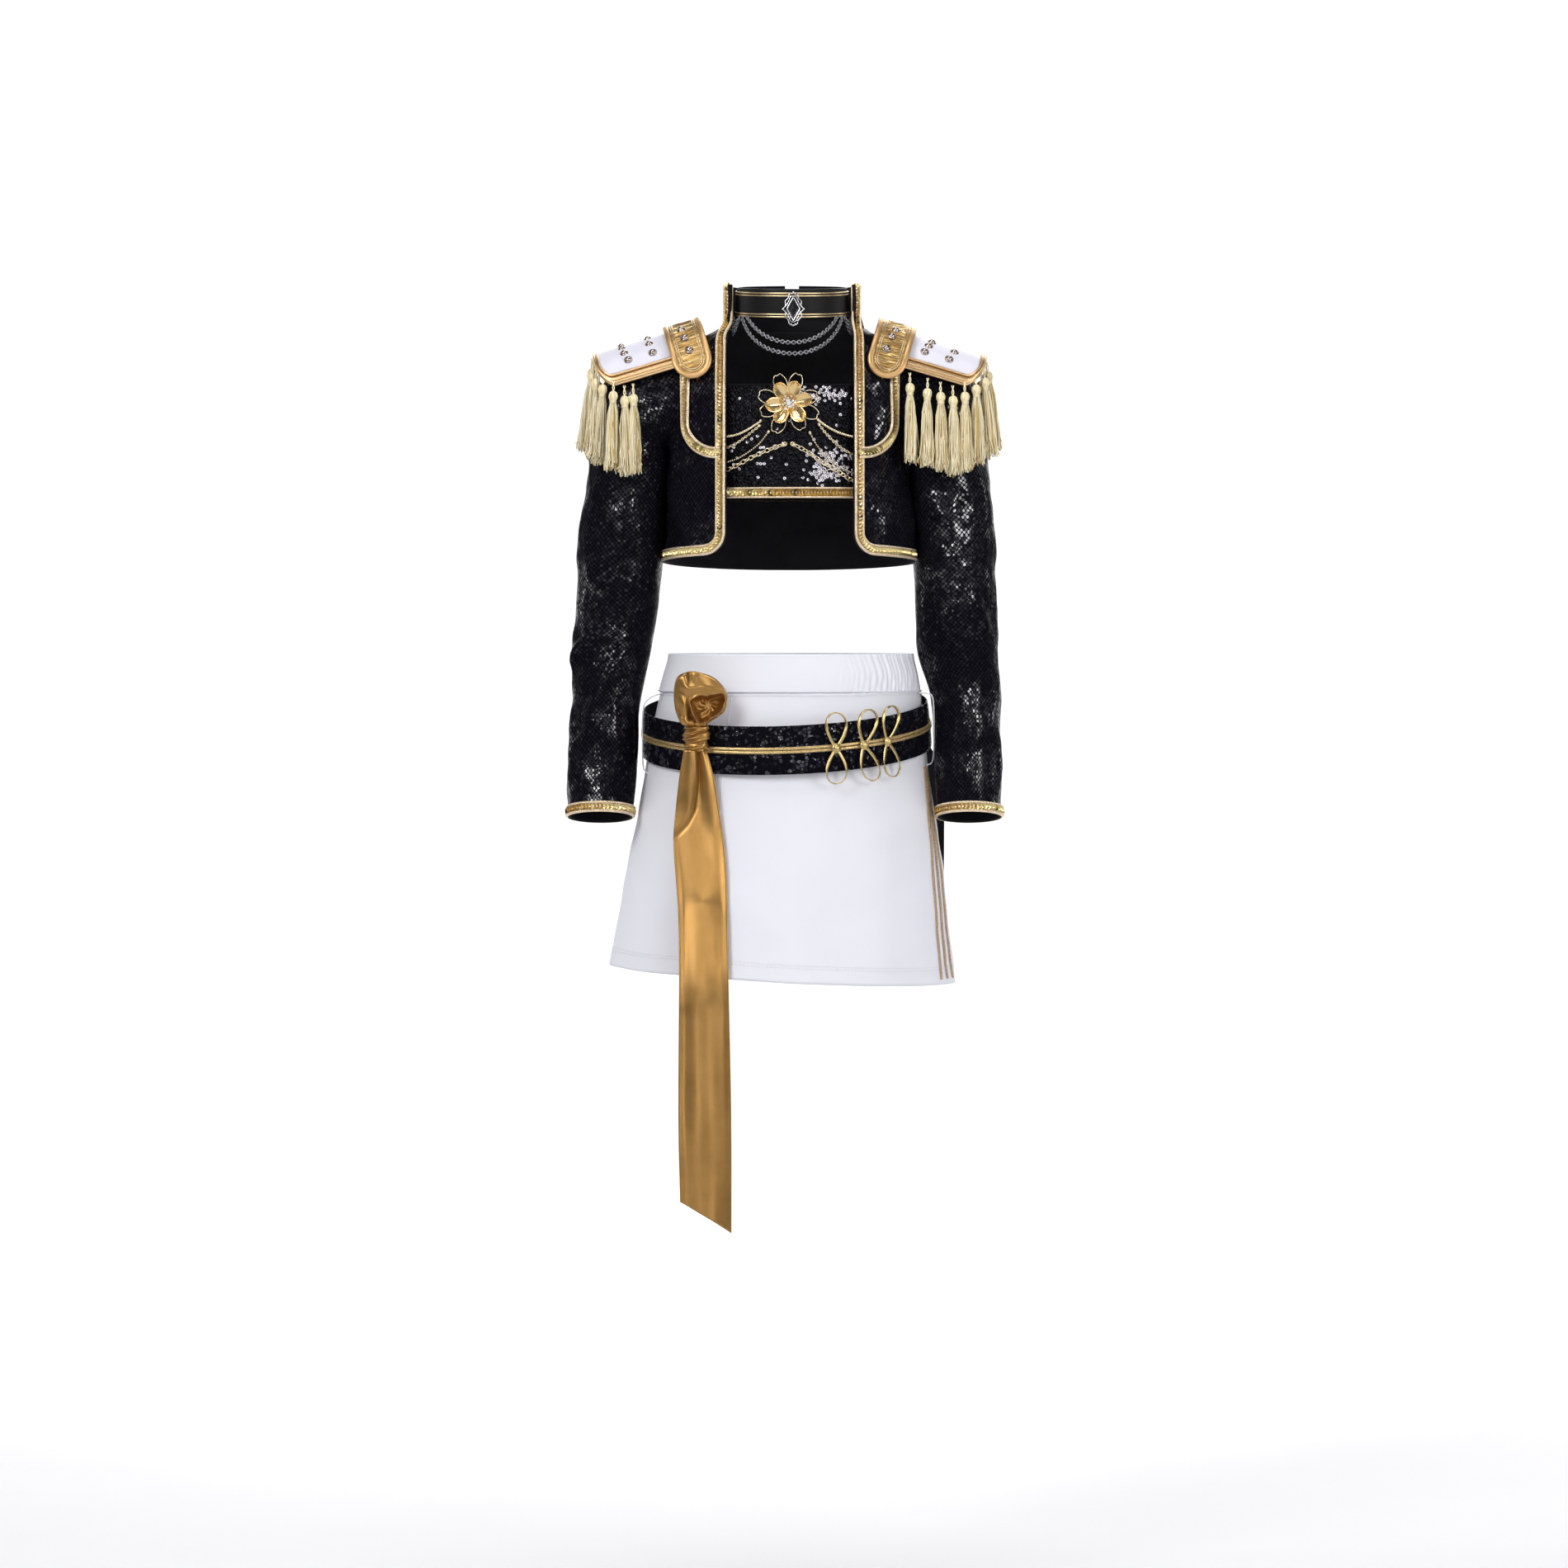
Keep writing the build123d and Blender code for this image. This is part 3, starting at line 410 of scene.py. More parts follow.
class Heap:
    """Collects vertices, faces, face materials and UVs of one piece."""

    def __init__(self):
        self.verts, self.faces, self.mats, self.uvs, self.count = [], [], [], [], 0

    def add(self, verts, faces, mat=0, uv=None):
        verts = np.asarray(verts, float).reshape(-1, 3)
        faces = np.asarray(faces, int)
        self.verts.append(verts)
        self.faces.append(faces + self.count)
        self.mats.append(np.full(len(faces), mat))
        self.uvs.append(np.zeros((len(verts), 2)) if uv is None else np.asarray(uv, float).reshape(-1, 2))
        self.count += len(verts)

    def grid(self, points, mat=0, uv=None, wrap_u=False, wrap_v=False, keep=None):
        """points[i][j]: quads between neighbours; wrap_u closes i, wrap_v closes j."""
        points = np.asarray(points, float)
        ni, nj = points.shape[:2]
        i = np.arange(ni if wrap_u else ni - 1)
        j = np.arange(nj if wrap_v else nj - 1)
        ii, jj = np.meshgrid(i, j, indexing="ij")
        i2, j2 = (ii + 1) % ni, (jj + 1) % nj
        faces = np.stack([ii * nj + jj, i2 * nj + jj, i2 * nj + j2, ii * nj + j2], -1).reshape(-1, 4)
        if keep is not None:
            faces = faces[np.asarray(keep).reshape(-1)]
        self.add(points.reshape(-1, 3), faces, mat, uv)

    def copies(self, verts, faces, places, frames, mat=0, sizes=None):
        """The same small shape at many places; frames[k] holds its three axes as rows."""
        verts, faces = np.asarray(verts, float), np.asarray(faces, int)
        places, frames = np.asarray(places, float), np.asarray(frames, float)
        scaled = np.broadcast_to(verts, (len(places), *verts.shape))
        if sizes is not None:
            scaled = scaled * np.asarray(sizes, float).reshape(-1, 1, 1)
        out = np.einsum("nvi,nij->nvj", scaled, frames) + places[:, None, :]
        all_faces = faces[None] + (np.arange(len(places)) * len(verts))[:, None, None]
        self.add(out.reshape(-1, 3), all_faces.reshape(-1, faces.shape[1]), mat)

    def build(self, name, mats, body=None, replaces=(), smooth=True, outward=False, up=False):
        verts = np.concatenate(self.verts) * MM
        faces = [f for block in self.faces for f in block.tolist()]
        mesh = bpy.data.meshes.new(name)
        mesh.from_pydata(verts.tolist(), [], faces)
        mesh.update()
        if outward or up:
            middles = np.array([f.center for f in mesh.polygons])
            normals = np.array([f.normal for f in mesh.polygons])
            facing = (middles - middles.mean(0)) * [1, 1, 0] if outward else np.array([0, 0, 1.0])
            if (normals * facing).sum() < 0:
                mesh.flip_normals()
        for m in mats:
            mesh.materials.append(m)
        mesh.polygons.foreach_set("material_index", np.concatenate(self.mats).astype(np.int32))
        mesh.polygons.foreach_set("use_smooth", np.full(len(mesh.polygons), smooth))
        layer = mesh.uv_layers.new(name="UVMap")
        uvs = np.concatenate(self.uvs)
        loops = np.empty(len(mesh.loops), np.int32)
        mesh.loops.foreach_get("vertex_index", loops)
        layer.data.foreach_set("uv", uvs[loops].astype(np.float32).ravel())
        obj = bpy.data.objects.new(name, mesh)
        bpy.context.scene.collection.objects.link(obj)
        if body:
            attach(obj, body)
        if replaces:
            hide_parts(*replaces)
        return obj


def drop_loose(obj):
    """Removes vertices that no face uses."""
    import bmesh

    bm = bmesh.new()
    bm.from_mesh(obj.data)
    loose = [v for v in bm.verts if not v.link_faces]
    bmesh.ops.delete(bm, geom=loose, context="VERTS")
    bm.to_mesh(obj.data)
    bm.free()


def thicken(obj, thickness, inner=1, offset=-1.0, rim=None):
    """Gives a cloth surface its thickness with the Solidify modifier; its inside takes the next material."""
    mod = obj.modifiers.new("cloth", "SOLIDIFY")
    mod.thickness = thickness * MM
    mod.offset = offset
    mod.material_offset = inner
    mod.material_offset_rim = inner if rim is None else rim
    mod.use_even_offset = False
    return obj


def resample(points, step=None, count=None, closed=False):
    """Even points along a polyline."""
    p = np.asarray(points, float)
    if closed:
        p = np.vstack([p, p[:1]])
    seg = np.linalg.norm(np.diff(p, axis=0), axis=1)
    s = np.concatenate([[0], np.cumsum(seg)])
    n = count or max(2, int(round(s[-1] / step)) + (0 if closed else 1))
    at = np.linspace(0, s[-1], n, endpoint=not closed)
    return np.stack([np.interp(at, s, p[:, k]) for k in range(p.shape[1])], 1)


def smooth_path(points, count=120, closed=False):
    """Catmull-Rom curve through a few points."""
    p = np.asarray(points, float)
    n = len(p)
    if closed:
        get = lambda i: p[i % n]
        spans = n
    else:
        ext = np.vstack([2 * p[0] - p[1], p, 2 * p[-1] - p[-2]])
        get = lambda i: ext[i + 1]
        spans = n - 1
    out = []
    per = max(2, count // spans)
    for k in range(spans):
        a, b, c, d = get(k - 1), get(k), get(k + 1), get(k + 2)
        for t in np.linspace(0, 1, per, endpoint=False):
            out.append(0.5 * (2 * b + (c - a) * t + (2 * a - 5 * b + 4 * c - d) * t * t + (3 * b - a - 3 * c + d) * t ** 3))
    if not closed:
        out.append(p[-1])
    return np.array(out)


def tangents(p, closed=False):
    if closed:
        t = np.roll(p, -1, 0) - np.roll(p, 1, 0)
    else:
        t = np.gradient(p, axis=0)
    return unit(t)


def frames_along(p, normals=None, closed=False):
    """Tangent, side and normal at each point; without normals the frame turns as little as it can."""
    t = tangents(p, closed)
    if normals is None:
        n = np.zeros_like(p)
        seed = np.array([0, 0, 1.0]) if abs(t[0][2]) < 0.9 else np.array([1.0, 0, 0])
        cur = unit(seed - t[0] * seed.dot(t[0]))
        for k in range(len(p)):
            cur = unit(cur - t[k] * cur.dot(t[k]))
            n[k] = cur
    else:
        n = np.asarray(normals, float)
        n = unit(n - t * np.sum(n * t, 1, keepdims=True))
    s = np.cross(n, t)
    return t, s, n


def tube(heap, p, radius, sides=8, mat=0, closed=False, normals=None, flat=1.0, caps=True, twist=0.0):
    """Round or oval tube along p; radius may be one number or one per point; flat squeezes it along the normal."""
    _, s, n = frames_along(p, normals, closed)
    r = np.broadcast_to(np.asarray(radius, float), (len(p),))
    ang = np.linspace(0, TAU, sides, endpoint=False)[None, :] + np.linspace(0, twist, len(p))[:, None]
    ring = p[:, None] + (np.cos(ang)[..., None] * s[:, None] + flat * np.sin(ang)[..., None] * n[:, None]) * r[:,
        None, None]
    heap.grid(ring, mat, wrap_u=closed, wrap_v=True)
    if caps and not closed:
        for end, flip in ((0, 1), (-1, -1)):
            centre = p[end]
            fan = np.vstack([ring[end], centre])
            k = np.arange(sides)
            tri = np.stack([k, np.full(sides, sides), (k + 1) % sides], 1)[:, ::flip]
            heap.add(fan, np.column_stack([tri, tri[:, 2]])[:, :3], mat)


def rope(heap, p, radius, strands=2, pitch=6.0, mat=0, sides=6, closed=False, normals=None):
    """Strands twisted round a line."""
    length = np.linalg.norm(np.diff(p, axis=0), axis=1).sum()
    q = resample(p, step=pitch / 8, closed=closed)
    nn = None
    if normals is not None:
        idx = np.clip(np.linspace(0, len(normals) - 1, len(q)).round().astype(int), 0, len(normals) - 1)
        nn = np.asarray(normals)[idx]
    _, s, n = frames_along(q, nn, closed)
    turns = round(length / pitch) if closed else length / pitch
    phase = np.linspace(0, TAU * turns, len(q), endpoint=not closed)
    for k in range(strands):
        a = phase + TAU * k / strands
        strand = q + (np.cos(a)[:, None] * s + np.sin(a)[:, None] * n) * radius * 0.5
        tube(heap, strand, radius * 0.56, sides, mat, closed)


def band(heap, p, normals, profile, mat=0, closed=False, uv_scale=1.0):
    """Strip along p whose cross-section is a list of (across, up)."""
    _, s, n = frames_along(p, normals, closed)
    prof = np.asarray(profile, float)
    pts = p[:, None] + prof[None, :, 0, None] * s[:, None] + prof[None, :, 1, None] * n[:, None]
    run = np.concatenate([[0], np.cumsum(np.linalg.norm(np.diff(p, axis=0), axis=1))])
    uv = np.stack(np.broadcast_arrays(prof[None, :, 0], run[:, None]), -1) * uv_scale
    heap.grid(pts, mat, uv, wrap_u=closed)


def ring_shape(outer, inner, sides=8, height=0.4, dish=0.0):
    """Flat ring with a bevelled rim, in XY: rows are outer bottom, outer top, inner top."""
    a = np.linspace(0, TAU, sides, endpoint=False)
    c = np.stack([np.cos(a), np.sin(a)], 1)
    rows = [(outer, 0.0), (outer * 0.93, height), (inner, height - dish)]
    verts = np.concatenate([np.column_stack([c * r, np.full(sides, z)]) for r, z in rows])
    k = np.arange(sides)
    k2 = (k + 1) % sides
    faces = [np.stack([k + row * sides, k2 + row * sides, k2 + (row + 1) * sides, k + (row + 1) * sides],
        1) for row in range(2)]
    return verts, np.concatenate(faces)


def ball_shape(radius=1.0, rings=6, sides=10, squash=1.0, dome=False):
    """Sphere or upper half of one as a quad grid, in XY with Z up."""
    low = 0.0 if dome else -math.pi / 2
    lat = np.linspace(low + (0.0 if dome else 0.12), math.pi / 2 - 0.12, rings)
    lon = np.linspace(0, TAU, sides, endpoint=False)
    verts = [(math.cos(a) * math.cos(o) * radius, math.cos(a) * math.sin(o) * radius,
        math.sin(a) * radius * squash) for a in lat for o in lon]
    faces = [
        (i * sides + j, i * sides + (j + 1) % sides, (i + 1) * sides + (j + 1) % sides, (i + 1) * sides + j)
        for i in range(rings - 1) for j in range(sides)
    ]
    last = (rings - 1) * sides
    faces += [(last + j, last + j + 1, last + sides - 2 - j, last + sides - 1 - j) for j in range(sides // 2 - 1)]
    return np.array(verts), np.array(faces)


def waves(points, seed, size, count=9):
    """Smooth made-up unevenness, about -1 to 1, with features of that size in mm."""
    rng = np.random.default_rng(seed)
    k = unit(rng.normal(size=(count, 3))) * (TAU / size) * rng.uniform(0.6, 1.6, (count, 1))
    phase = rng.uniform(0, TAU, count)
    return np.sin(np.asarray(points) @ k.T + phase).sum(-1) / math.sqrt(count)


def soft_step(x, low, high):
    t = np.clip((x - low) / (high - low), 0, 1)
    return t * t * (3 - 2 * t)


def table(stops, column, at, blur=5.0):
    """Smoothed straight-line interpolation of one column of (height, ...) stops."""
    stops = np.asarray(sorted(stops), float)
    at = np.asarray(at, float)
    offsets = np.array([-1, -0.5, 0, 0.5, 1]) * blur
    weight = np.array([1, 2, 3, 2, 1]) / 9
    return sum(w * np.interp(at + o, stops[:, 0], stops[:, column]) for w, o in zip(weight, offsets))


# ================================================================================================
# the garment surfaces, with the solids' own sizes
# ================================================================================================
NECK_Z = 288.0
OPENING, CORNER_R, HEM_Z, HEM_CLIMB = 55.0, 20.0, 85.7, math.tan(math.radians(4.5))
TORSO = [
    (72, 112.5, 86, 0), (150, 105, 84, 0), (205, 106, 78, 0), (238, 114, 70, 0), (258, 112, 57, 0), (271, 98, 49, 0),
    (281, 78, 47, 1), (288, 63, 49, 2),
]
CORNER_Z = HEM_Z + 86 * math.sqrt(1 - ((OPENING + CORNER_R) / 111) ** 2) * HEM_CLIMB


def torso_point(theta, z, off=0.0):
    """theta 0 is the front centre and grows to the wearer's left; off is outwards."""
    a, b, cx = (table(TORSO, c, z, 4.0) for c in (1, 2, 3))
    a, b = a + off, b + off
    return np.stack(np.broadcast_arrays(cx + a * np.sin(theta), -b * np.cos(theta), z), -1)


def torso_normal(theta, z, d=0.01):
    du = torso_point(theta + d, z) - torso_point(theta - d, z)
    dv = torso_point(theta, z + 1) - torso_point(theta, z - 1)
    return unit(np.cross(du, dv))


def torso_at_x(x, z, off=0.0):
    """Point and normal of the jacket's front at a given x and z."""
    a, cx = table(TORSO, 1, z, 4.0), table(TORSO, 3, z, 4.0)
    theta = np.arcsin(np.clip((x - cx) / a, -1, 1))
    normal = torso_normal(theta, z)
    return torso_point(theta, z) + normal * off, normal


def front_edge_x(z, inset=0.0):
    """How far the front panel's edge lies from the middle at height z, with the rounded lower corner."""
    r = CORNER_R - inset
    low = CORNER_Z + inset
    dz = np.clip(low + r - z, 0, r)
    return OPENING + inset + (r - np.sqrt(np.maximum(r * r - dz * dz, 0)))


def arm_sections(side):
    shoulder = [(88, 0, 229, 44, 36, 6, 0), (106, 0, 227, 43.5, 38, 12, 0), (128, 0, 219, 41.5, 38, 34, 0)]
    down = {
        "left": [
            (136.5, 0, 200, 38, 37, 62, 0), (137, 0, 165, 36.5, 36.5, 84, 0), (141, 0, 120, 36.8, 37, 88, 0),
            (144, 1.5, 84, 36.8, 37.2, 89, 0), (145.4, 2, 42, 36, 36.6, 90, 2), (146.4, -1, 6, 35.2, 35.4, 90, 6),
            (152.6, -6.5, -32, 30.2, 33.8, 90, 9), (154.4, -15, -80, 29.2, 31.5, 90, 11),
            (156, -26, -136, 28, 29.5, 90, 12),
        ],
        "right": [
            (138, 0, 200, 38, 37, 62, 0), (139, 0, 165, 37, 36.5, 83, 0), (144.8, 0, 120, 37.8, 37, 86, 0),
            (148.4, 1.5, 84, 37.8, 37.2, 88, 0), (151.6, 2, 42, 36.6, 36.6, 90, 2), (156, -1, 0, 33.2, 35.2, 90, 6),
            (160.2, -8, -42, 29.8, 33.6, 90, 9), (161.4, -15, -80, 29.8, 31.5, 90, 11),
            (164.6, -26, -136, 28.2, 29.5, 90, 12),
        ],
    }[side]
    return np.array(shoulder + down, float)


class Arm:
    """A sleeve's surface: t runs from 0 at the shoulder to 1 at the cuff, theta round it (0 faces the front)."""

    def __init__(self, side):
        self.s = sign_of(side)
        rows = arm_sections(side)
        self.rows = smooth_path(rows, 240)
        seg = np.linalg.norm(np.diff(self.rows[:, :3], axis=0), axis=1)
        self.run = np.concatenate([[0], np.cumsum(seg)])
        self.length = self.run[-1]

    def row(self, t):
        at = np.asarray(t, float) * self.length
        return np.stack([np.interp(at, self.run, self.rows[:, k]) for k in range(7)], -1)

    def point(self, theta, t, off=0.0):
        r = self.row(t)
        lean, fore = np.radians(r[..., 5]), np.radians(r[..., 6])
        n = np.stack([np.cos(lean), -np.sin(lean) * np.sin(fore), -np.sin(lean) * np.cos(fore)], -1)
        v = np.zeros_like(n)
        v[..., 1] = 1.0
        v = unit(v - n * n[..., 1:2])
        u = np.cross(v, n)
        a, b = r[..., 3] + off, r[..., 4] + off
        p = r[..., :3] - v * (b * np.cos(theta))[..., None] + u * (a * np.sin(theta))[..., None]
        return p * np.array([self.s, 1, 1])

    def normal(self, theta, t):
        du = self.point(theta + 0.01, t) - self.point(theta - 0.01, t)
        dv = self.point(theta, np.minimum(t + 0.004, 1)) - self.point(theta, np.maximum(t - 0.004, 0))
        return unit(np.cross(dv, du)) * self.s * -1


SKIRT = [(-27, 113.5, 80, 1), (-64, 119.4, 86, -1.6), (-100, 123.8, 91.5, -2.6), (-137, 129.5, 97, -3.3),
    (-200, 140, 106.5, -7), (-300, 154, 121, -11)]
WAIST = [(-27, 114.3, 80.8, 0), (0, 107.6, 75.6, 0.8), (6, 107.2, 75.0, 0.8)]
HEM_PITCH, HEM_ROLL = math.tan(math.radians(0.3)), math.tan(math.radians(3.1))


def skirt_hem(x, y):
    return -273.0 - (x + 6) * HEM_ROLL + y * HEM_PITCH


def oval_point(stops, theta, z, off=0.0, blur=5.0):
    a, b, cx = (table(stops, c, z, blur) for c in (1, 2, 3))
    return np.stack(np.broadcast_arrays(cx + (a + off) * np.sin(theta), -(b + off) * np.cos(theta), z), -1)


BELT_Z, BELT_H = -58.5, 41.0
BELT_PITCH, BELT_ROLL = math.radians(10.2), math.radians(-2.0)


def belt_point(theta, dz, off=0.0):
    a = 125.2 - 1.2 * dz / (BELT_H / 2) + off
    b = 97.5 - 3.75 * dz / (BELT_H / 2) + off
    x, y, z = a * np.sin(theta), -b * np.cos(theta), dz + 0 * theta
    tilt = np.array(Matrix.Rotation(BELT_PITCH, 3, "X") @ Matrix.Rotation(BELT_ROLL, 3, "Y"))
    p = np.stack(np.broadcast_arrays(x, y, z), -1) @ tilt.T
    return p + np.array([-3, -3, BELT_Z])


def belt_normal(theta, dz=0.0):
    du = belt_point(theta + 0.01, dz) - belt_point(theta - 0.01, dz)
    dv = belt_point(theta, dz + 1) - belt_point(theta, dz - 1)
    return unit(np.cross(du, dv))


# ================================================================================================
# jacket
# ================================================================================================
# (x and z of the upper end, x and z of the lower end, depth, width)
JACKET_FOLDS = [
    (-107, 162, -86, 98, 3.4, 6), (-104, 196, -98, 172, 2.4, 5), (-84, 150, -76, 118, 1.5, 6),
    (106, 180, 90, 152, 3.0, 6), (106, 146, 98, 98, 3.0, 7), (84, 214, 75, 186, 2.0, 5), (80, 150, 84, 112, 1.4, 6),
]


def make_jacket():
    heap = Heap()
    rows, cols = 88, 250
    arms = {side: Arm(side) for side in SIDES}
    v = np.linspace(0, 1, rows)
    share = np.linspace(-1, 1, cols)
    pts = np.zeros((rows, cols, 3))
    uv = np.zeros((rows, cols, 2))
    for i, vi in enumerate(v):
        # a first guess of the row's height at the front edge gives the opening's angle
        z_edge = CORNER_Z + (NECK_Z - CORNER_Z) * vi
        for _ in range(4):
            theta0 = math.asin(min(0.98, front_edge_x(z_edge) / table(TORSO, 1, z_edge, 4.0)))
            low_edge = HEM_Z + 86 * math.cos(theta0) * HEM_CLIMB
            z_edge = low_edge + (NECK_Z - low_edge) * vi
        half = math.pi - theta0
        theta = math.pi + share * half
        low = HEM_Z
        hem = low + 86 * np.cos(theta) * HEM_CLIMB
        z = hem + (NECK_Z - hem) * vi
        p = torso_point(theta, z)
        pts[i] = p
        uv[i, :, 0] = share * 260
        uv[i, :, 1] = z
    n = unit(np.cross(np.gradient(pts, axis=1), np.gradient(pts, axis=0)))
    bulge = 1.6 * waves(pts, 3, 95) + 0.5 * waves(pts, 5, 34)
    edge = soft_step(1 - np.abs(share), 0.0, 0.14)[None, :] * soft_step(v, 0.0, 0.12)[:, None] * soft_step(1 - v, 0,
        0.15)[:, None]
    # creases that run from the armhole towards the front edge
    x, z = np.abs(pts[..., 0]), pts[..., 2]
    front = pts[..., 1] < 0
    for level, slope, depth, width in ((196, 0.55, 1.5, 7), (158, 0.35, 1.8, 9), (128, -0.2, 1.4, 8)):
        line = level + (x - 78) * slope
        bulge = bulge + np.where(front, depth * np.exp(-(((z - line) / width) ** 2)) * soft_step(x, 62, 92), 0)
    # and folds that hang down each front panel, none of them the same on the two sides
    for x0, z0, x1, z1, depth, width in JACKET_FOLDS:
        share_z = np.clip((pts[..., 2] - z1) / (z0 - z1), 0, 1)
        off = (pts[..., 0] - (x1 + (x0 - x1) * share_z)) / width
        ends = soft_step(pts[..., 2], z1 - 12, z1 + 6) * soft_step(-pts[..., 2], -z0 - 12, -z0 + 6)
        bulge = bulge + np.where(front, depth * np.exp(-off ** 2) * ends, 0)
    pts = pts + n * (bulge * edge)[..., None]
    centre = (pts[:-1, :-1] + pts[1:, 1:]) / 2
    keep = np.ones(centre.shape[:2], bool)
    for side, arm in arms.items():
        keep &= ~inside_arm(arm, centre)
    heap.grid(pts, 0, uv, keep=keep)
    obj = heap.build("jacket_body", [BLACK_SCALE, LINING], "jacket",
        ("jacket_back", "jacket_front_left", "jacket_front_right"), outward=True)
    drop_loose(obj)
    thicken(obj, 1.8)
    for side in SIDES:
        make_sleeve(side, arms[side])


def inside_arm(arm, points, shrink=8.0):
    """Which points lie in a sleeve's hollow near the shoulder."""
    p = points * np.array([arm.s, 1, 1])
    best = np.full(points.shape[:2], False)
    for row in arm.rows[:120:2]:
        c, a, b = row[:3], row[3] - shrink, row[4] - shrink
        lean = math.radians(row[5])
        n = np.array([math.cos(lean), 0, -math.sin(lean)])
        u = np.array([math.sin(lean), 0, math.cos(lean)])
        d = p - c
        along = d @ n
        best |= (np.abs(along) < 3) & (((d @ u) / a) ** 2 + (d[..., 1] / b) ** 2 < 1)
    return best


# folds of each sleeve: (start t, start theta, end t, end theta, depth, width); theta in turns, 0 faces the front
FOLDS = {
    "right": [
        (0.30, -0.20, 0.42, 0.10, 2.2, 9), (0.40, 0.16, 0.47, -0.12, 2.6, 8), (0.47, -0.22, 0.53, 0.06, 3.6, 9),
        (0.50, 0.20, 0.60, -0.04, 3.4, 9), (0.58, -0.16, 0.63, 0.10, 3.8, 8), (0.60, -0.04, 0.68, -0.2, 2.4, 8),
        (0.62, 0.10, 0.74, -0.02, 3.0, 9), (0.72, 0.00, 0.86, -0.08, 2.6, 9), (0.76, -0.24, 0.93, -0.16, 2.0, 9),
        (0.85, 0.08, 0.98, 0.04, 1.4, 9),
    ],
    "left": [
        (0.26, 0.22, 0.40, 0.0, 2.2, 10), (0.38, -0.12, 0.50, 0.10, 2.4, 10), (0.50, -0.02, 0.62, -0.12, 2.6, 9),
        (0.54, 0.12, 0.70, -0.02, 2.8, 10), (0.66, -0.04, 0.80, 0.06, 3.0, 9), (0.78, 0.05, 0.97, 0.09, 2.6, 9),
        (0.82, -0.2, 0.97, -0.16, 1.8, 10), (0.6, 0.24, 0.8, 0.2, 1.8, 9),
    ],
}


def make_sleeve(side, arm):
    heap = Heap()
    rows, cols = 190, 96
    t = np.linspace(0.0, 1, rows)[:, None]
    turn = np.linspace(0.25, 1.25, cols, endpoint=False)[None, :]
    theta = turn * TAU
    tt, th = np.broadcast_arrays(t, theta)
    p = arm.point(th, tt)
    n = arm.normal(th, tt)
    radius = 34.0
    depth = 0.9 * waves(p, 11 if side == "left" else 12, 70) + 0.35 * waves(p, 14, 26)
    for t0, a0, t1, a1, deep, width in FOLDS[side]:
        for k in np.linspace(0, 1, 24):
            tc, ac = t0 + (t1 - t0) * k, a0 + (a1 - a0) * (k + 0.25 * math.sin(math.pi * k))
            dt = (tt - tc) * arm.length
            da = ((turn - ac + 0.5) % 1 - 0.5) * TAU * radius
            bell = np.exp(-(dt ** 2 + da ** 2) / (2 * (width * 0.55) ** 2))
            depth = depth + bell * deep * math.sin(math.pi * min(1, max(0, k * 0.96 + 0.02))) * 0.42
    # the creases bunch the cloth at the elbow
    bunch = np.exp(-(((tt - 0.52) / 0.13) ** 2))
    depth = depth - bunch * 0.9 * (0.5 + 0.5 * np.sin(tt * 62 + 3.1 * np.sin(th + 0.7) + 1.2 * np.sin(2 * th)))
    calm = soft_step(tt, 0.16, 0.30) * soft_step(1 - tt, 0.005, 0.06)
    p = p + n * (np.clip(depth, -3.5, 5.0) * calm * (1 - 0.75 * np.clip(np.sin(th), 0, 1)))[..., None]
    run = np.broadcast_to(tt * arm.length, th.shape)
    closed = np.concatenate([p, p[:, :1]], 1)
    uv_u = np.broadcast_to(np.linspace(0, 1, cols + 1)[None, :] * TAU * radius, (rows, cols + 1))
    uv = np.stack([uv_u, np.concatenate([run, run[:, :1]], 1)], -1)
    flip = arm.s > 0
    grid, uvs = (closed, uv) if flip else (closed[:, ::-1], uv[:, ::-1])
    centre = (grid[:-1, :-1] + grid[1:, 1:]) / 2
    keep = ~inside_torso(centre)
    heap.grid(grid, 0, uvs, keep=keep)
    obj = heap.build(f"sleeve_{side}", [BLACK_SCALE, LINING], None, (f"sleeve_upper_{side}", f"sleeve_lower_{side}"),
        outward=True)
    drop_loose(obj)
    thicken(obj, 1.6)
    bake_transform(obj)
    return obj


def inside_torso(points, shrink=9.0):
    z = points[..., 2]
    a, b, cx = (table(TORSO, c, z, 4.0) for c in (1, 2, 3))
    level = ((points[..., 0] - cx) / (a - shrink)) ** 2 + (points[..., 1] / (b - shrink)) ** 2 < 1
    return level & (z > 150) & (z < NECK_Z)


make_jacket()


# ================================================================================================
# skirt
# ================================================================================================
def skirt_folds(theta, p, v):
    down = soft_step(v, 0.25, 1.0)
    sway = 2.3 * np.sin(5 * theta + 0.6) + 1.5 * np.sin(8 * theta + 2.0) + 1.0 * np.sin(13 * theta + 0.3)
    ease = 0.8 * waves(p, 21, 90) + 0.35 * waves(p, 22, 40)
    return sway * down * 0.8 + ease * soft_step(v, 0.1, 0.4) * soft_step(1 - v, 0, 0.1) * 0.9


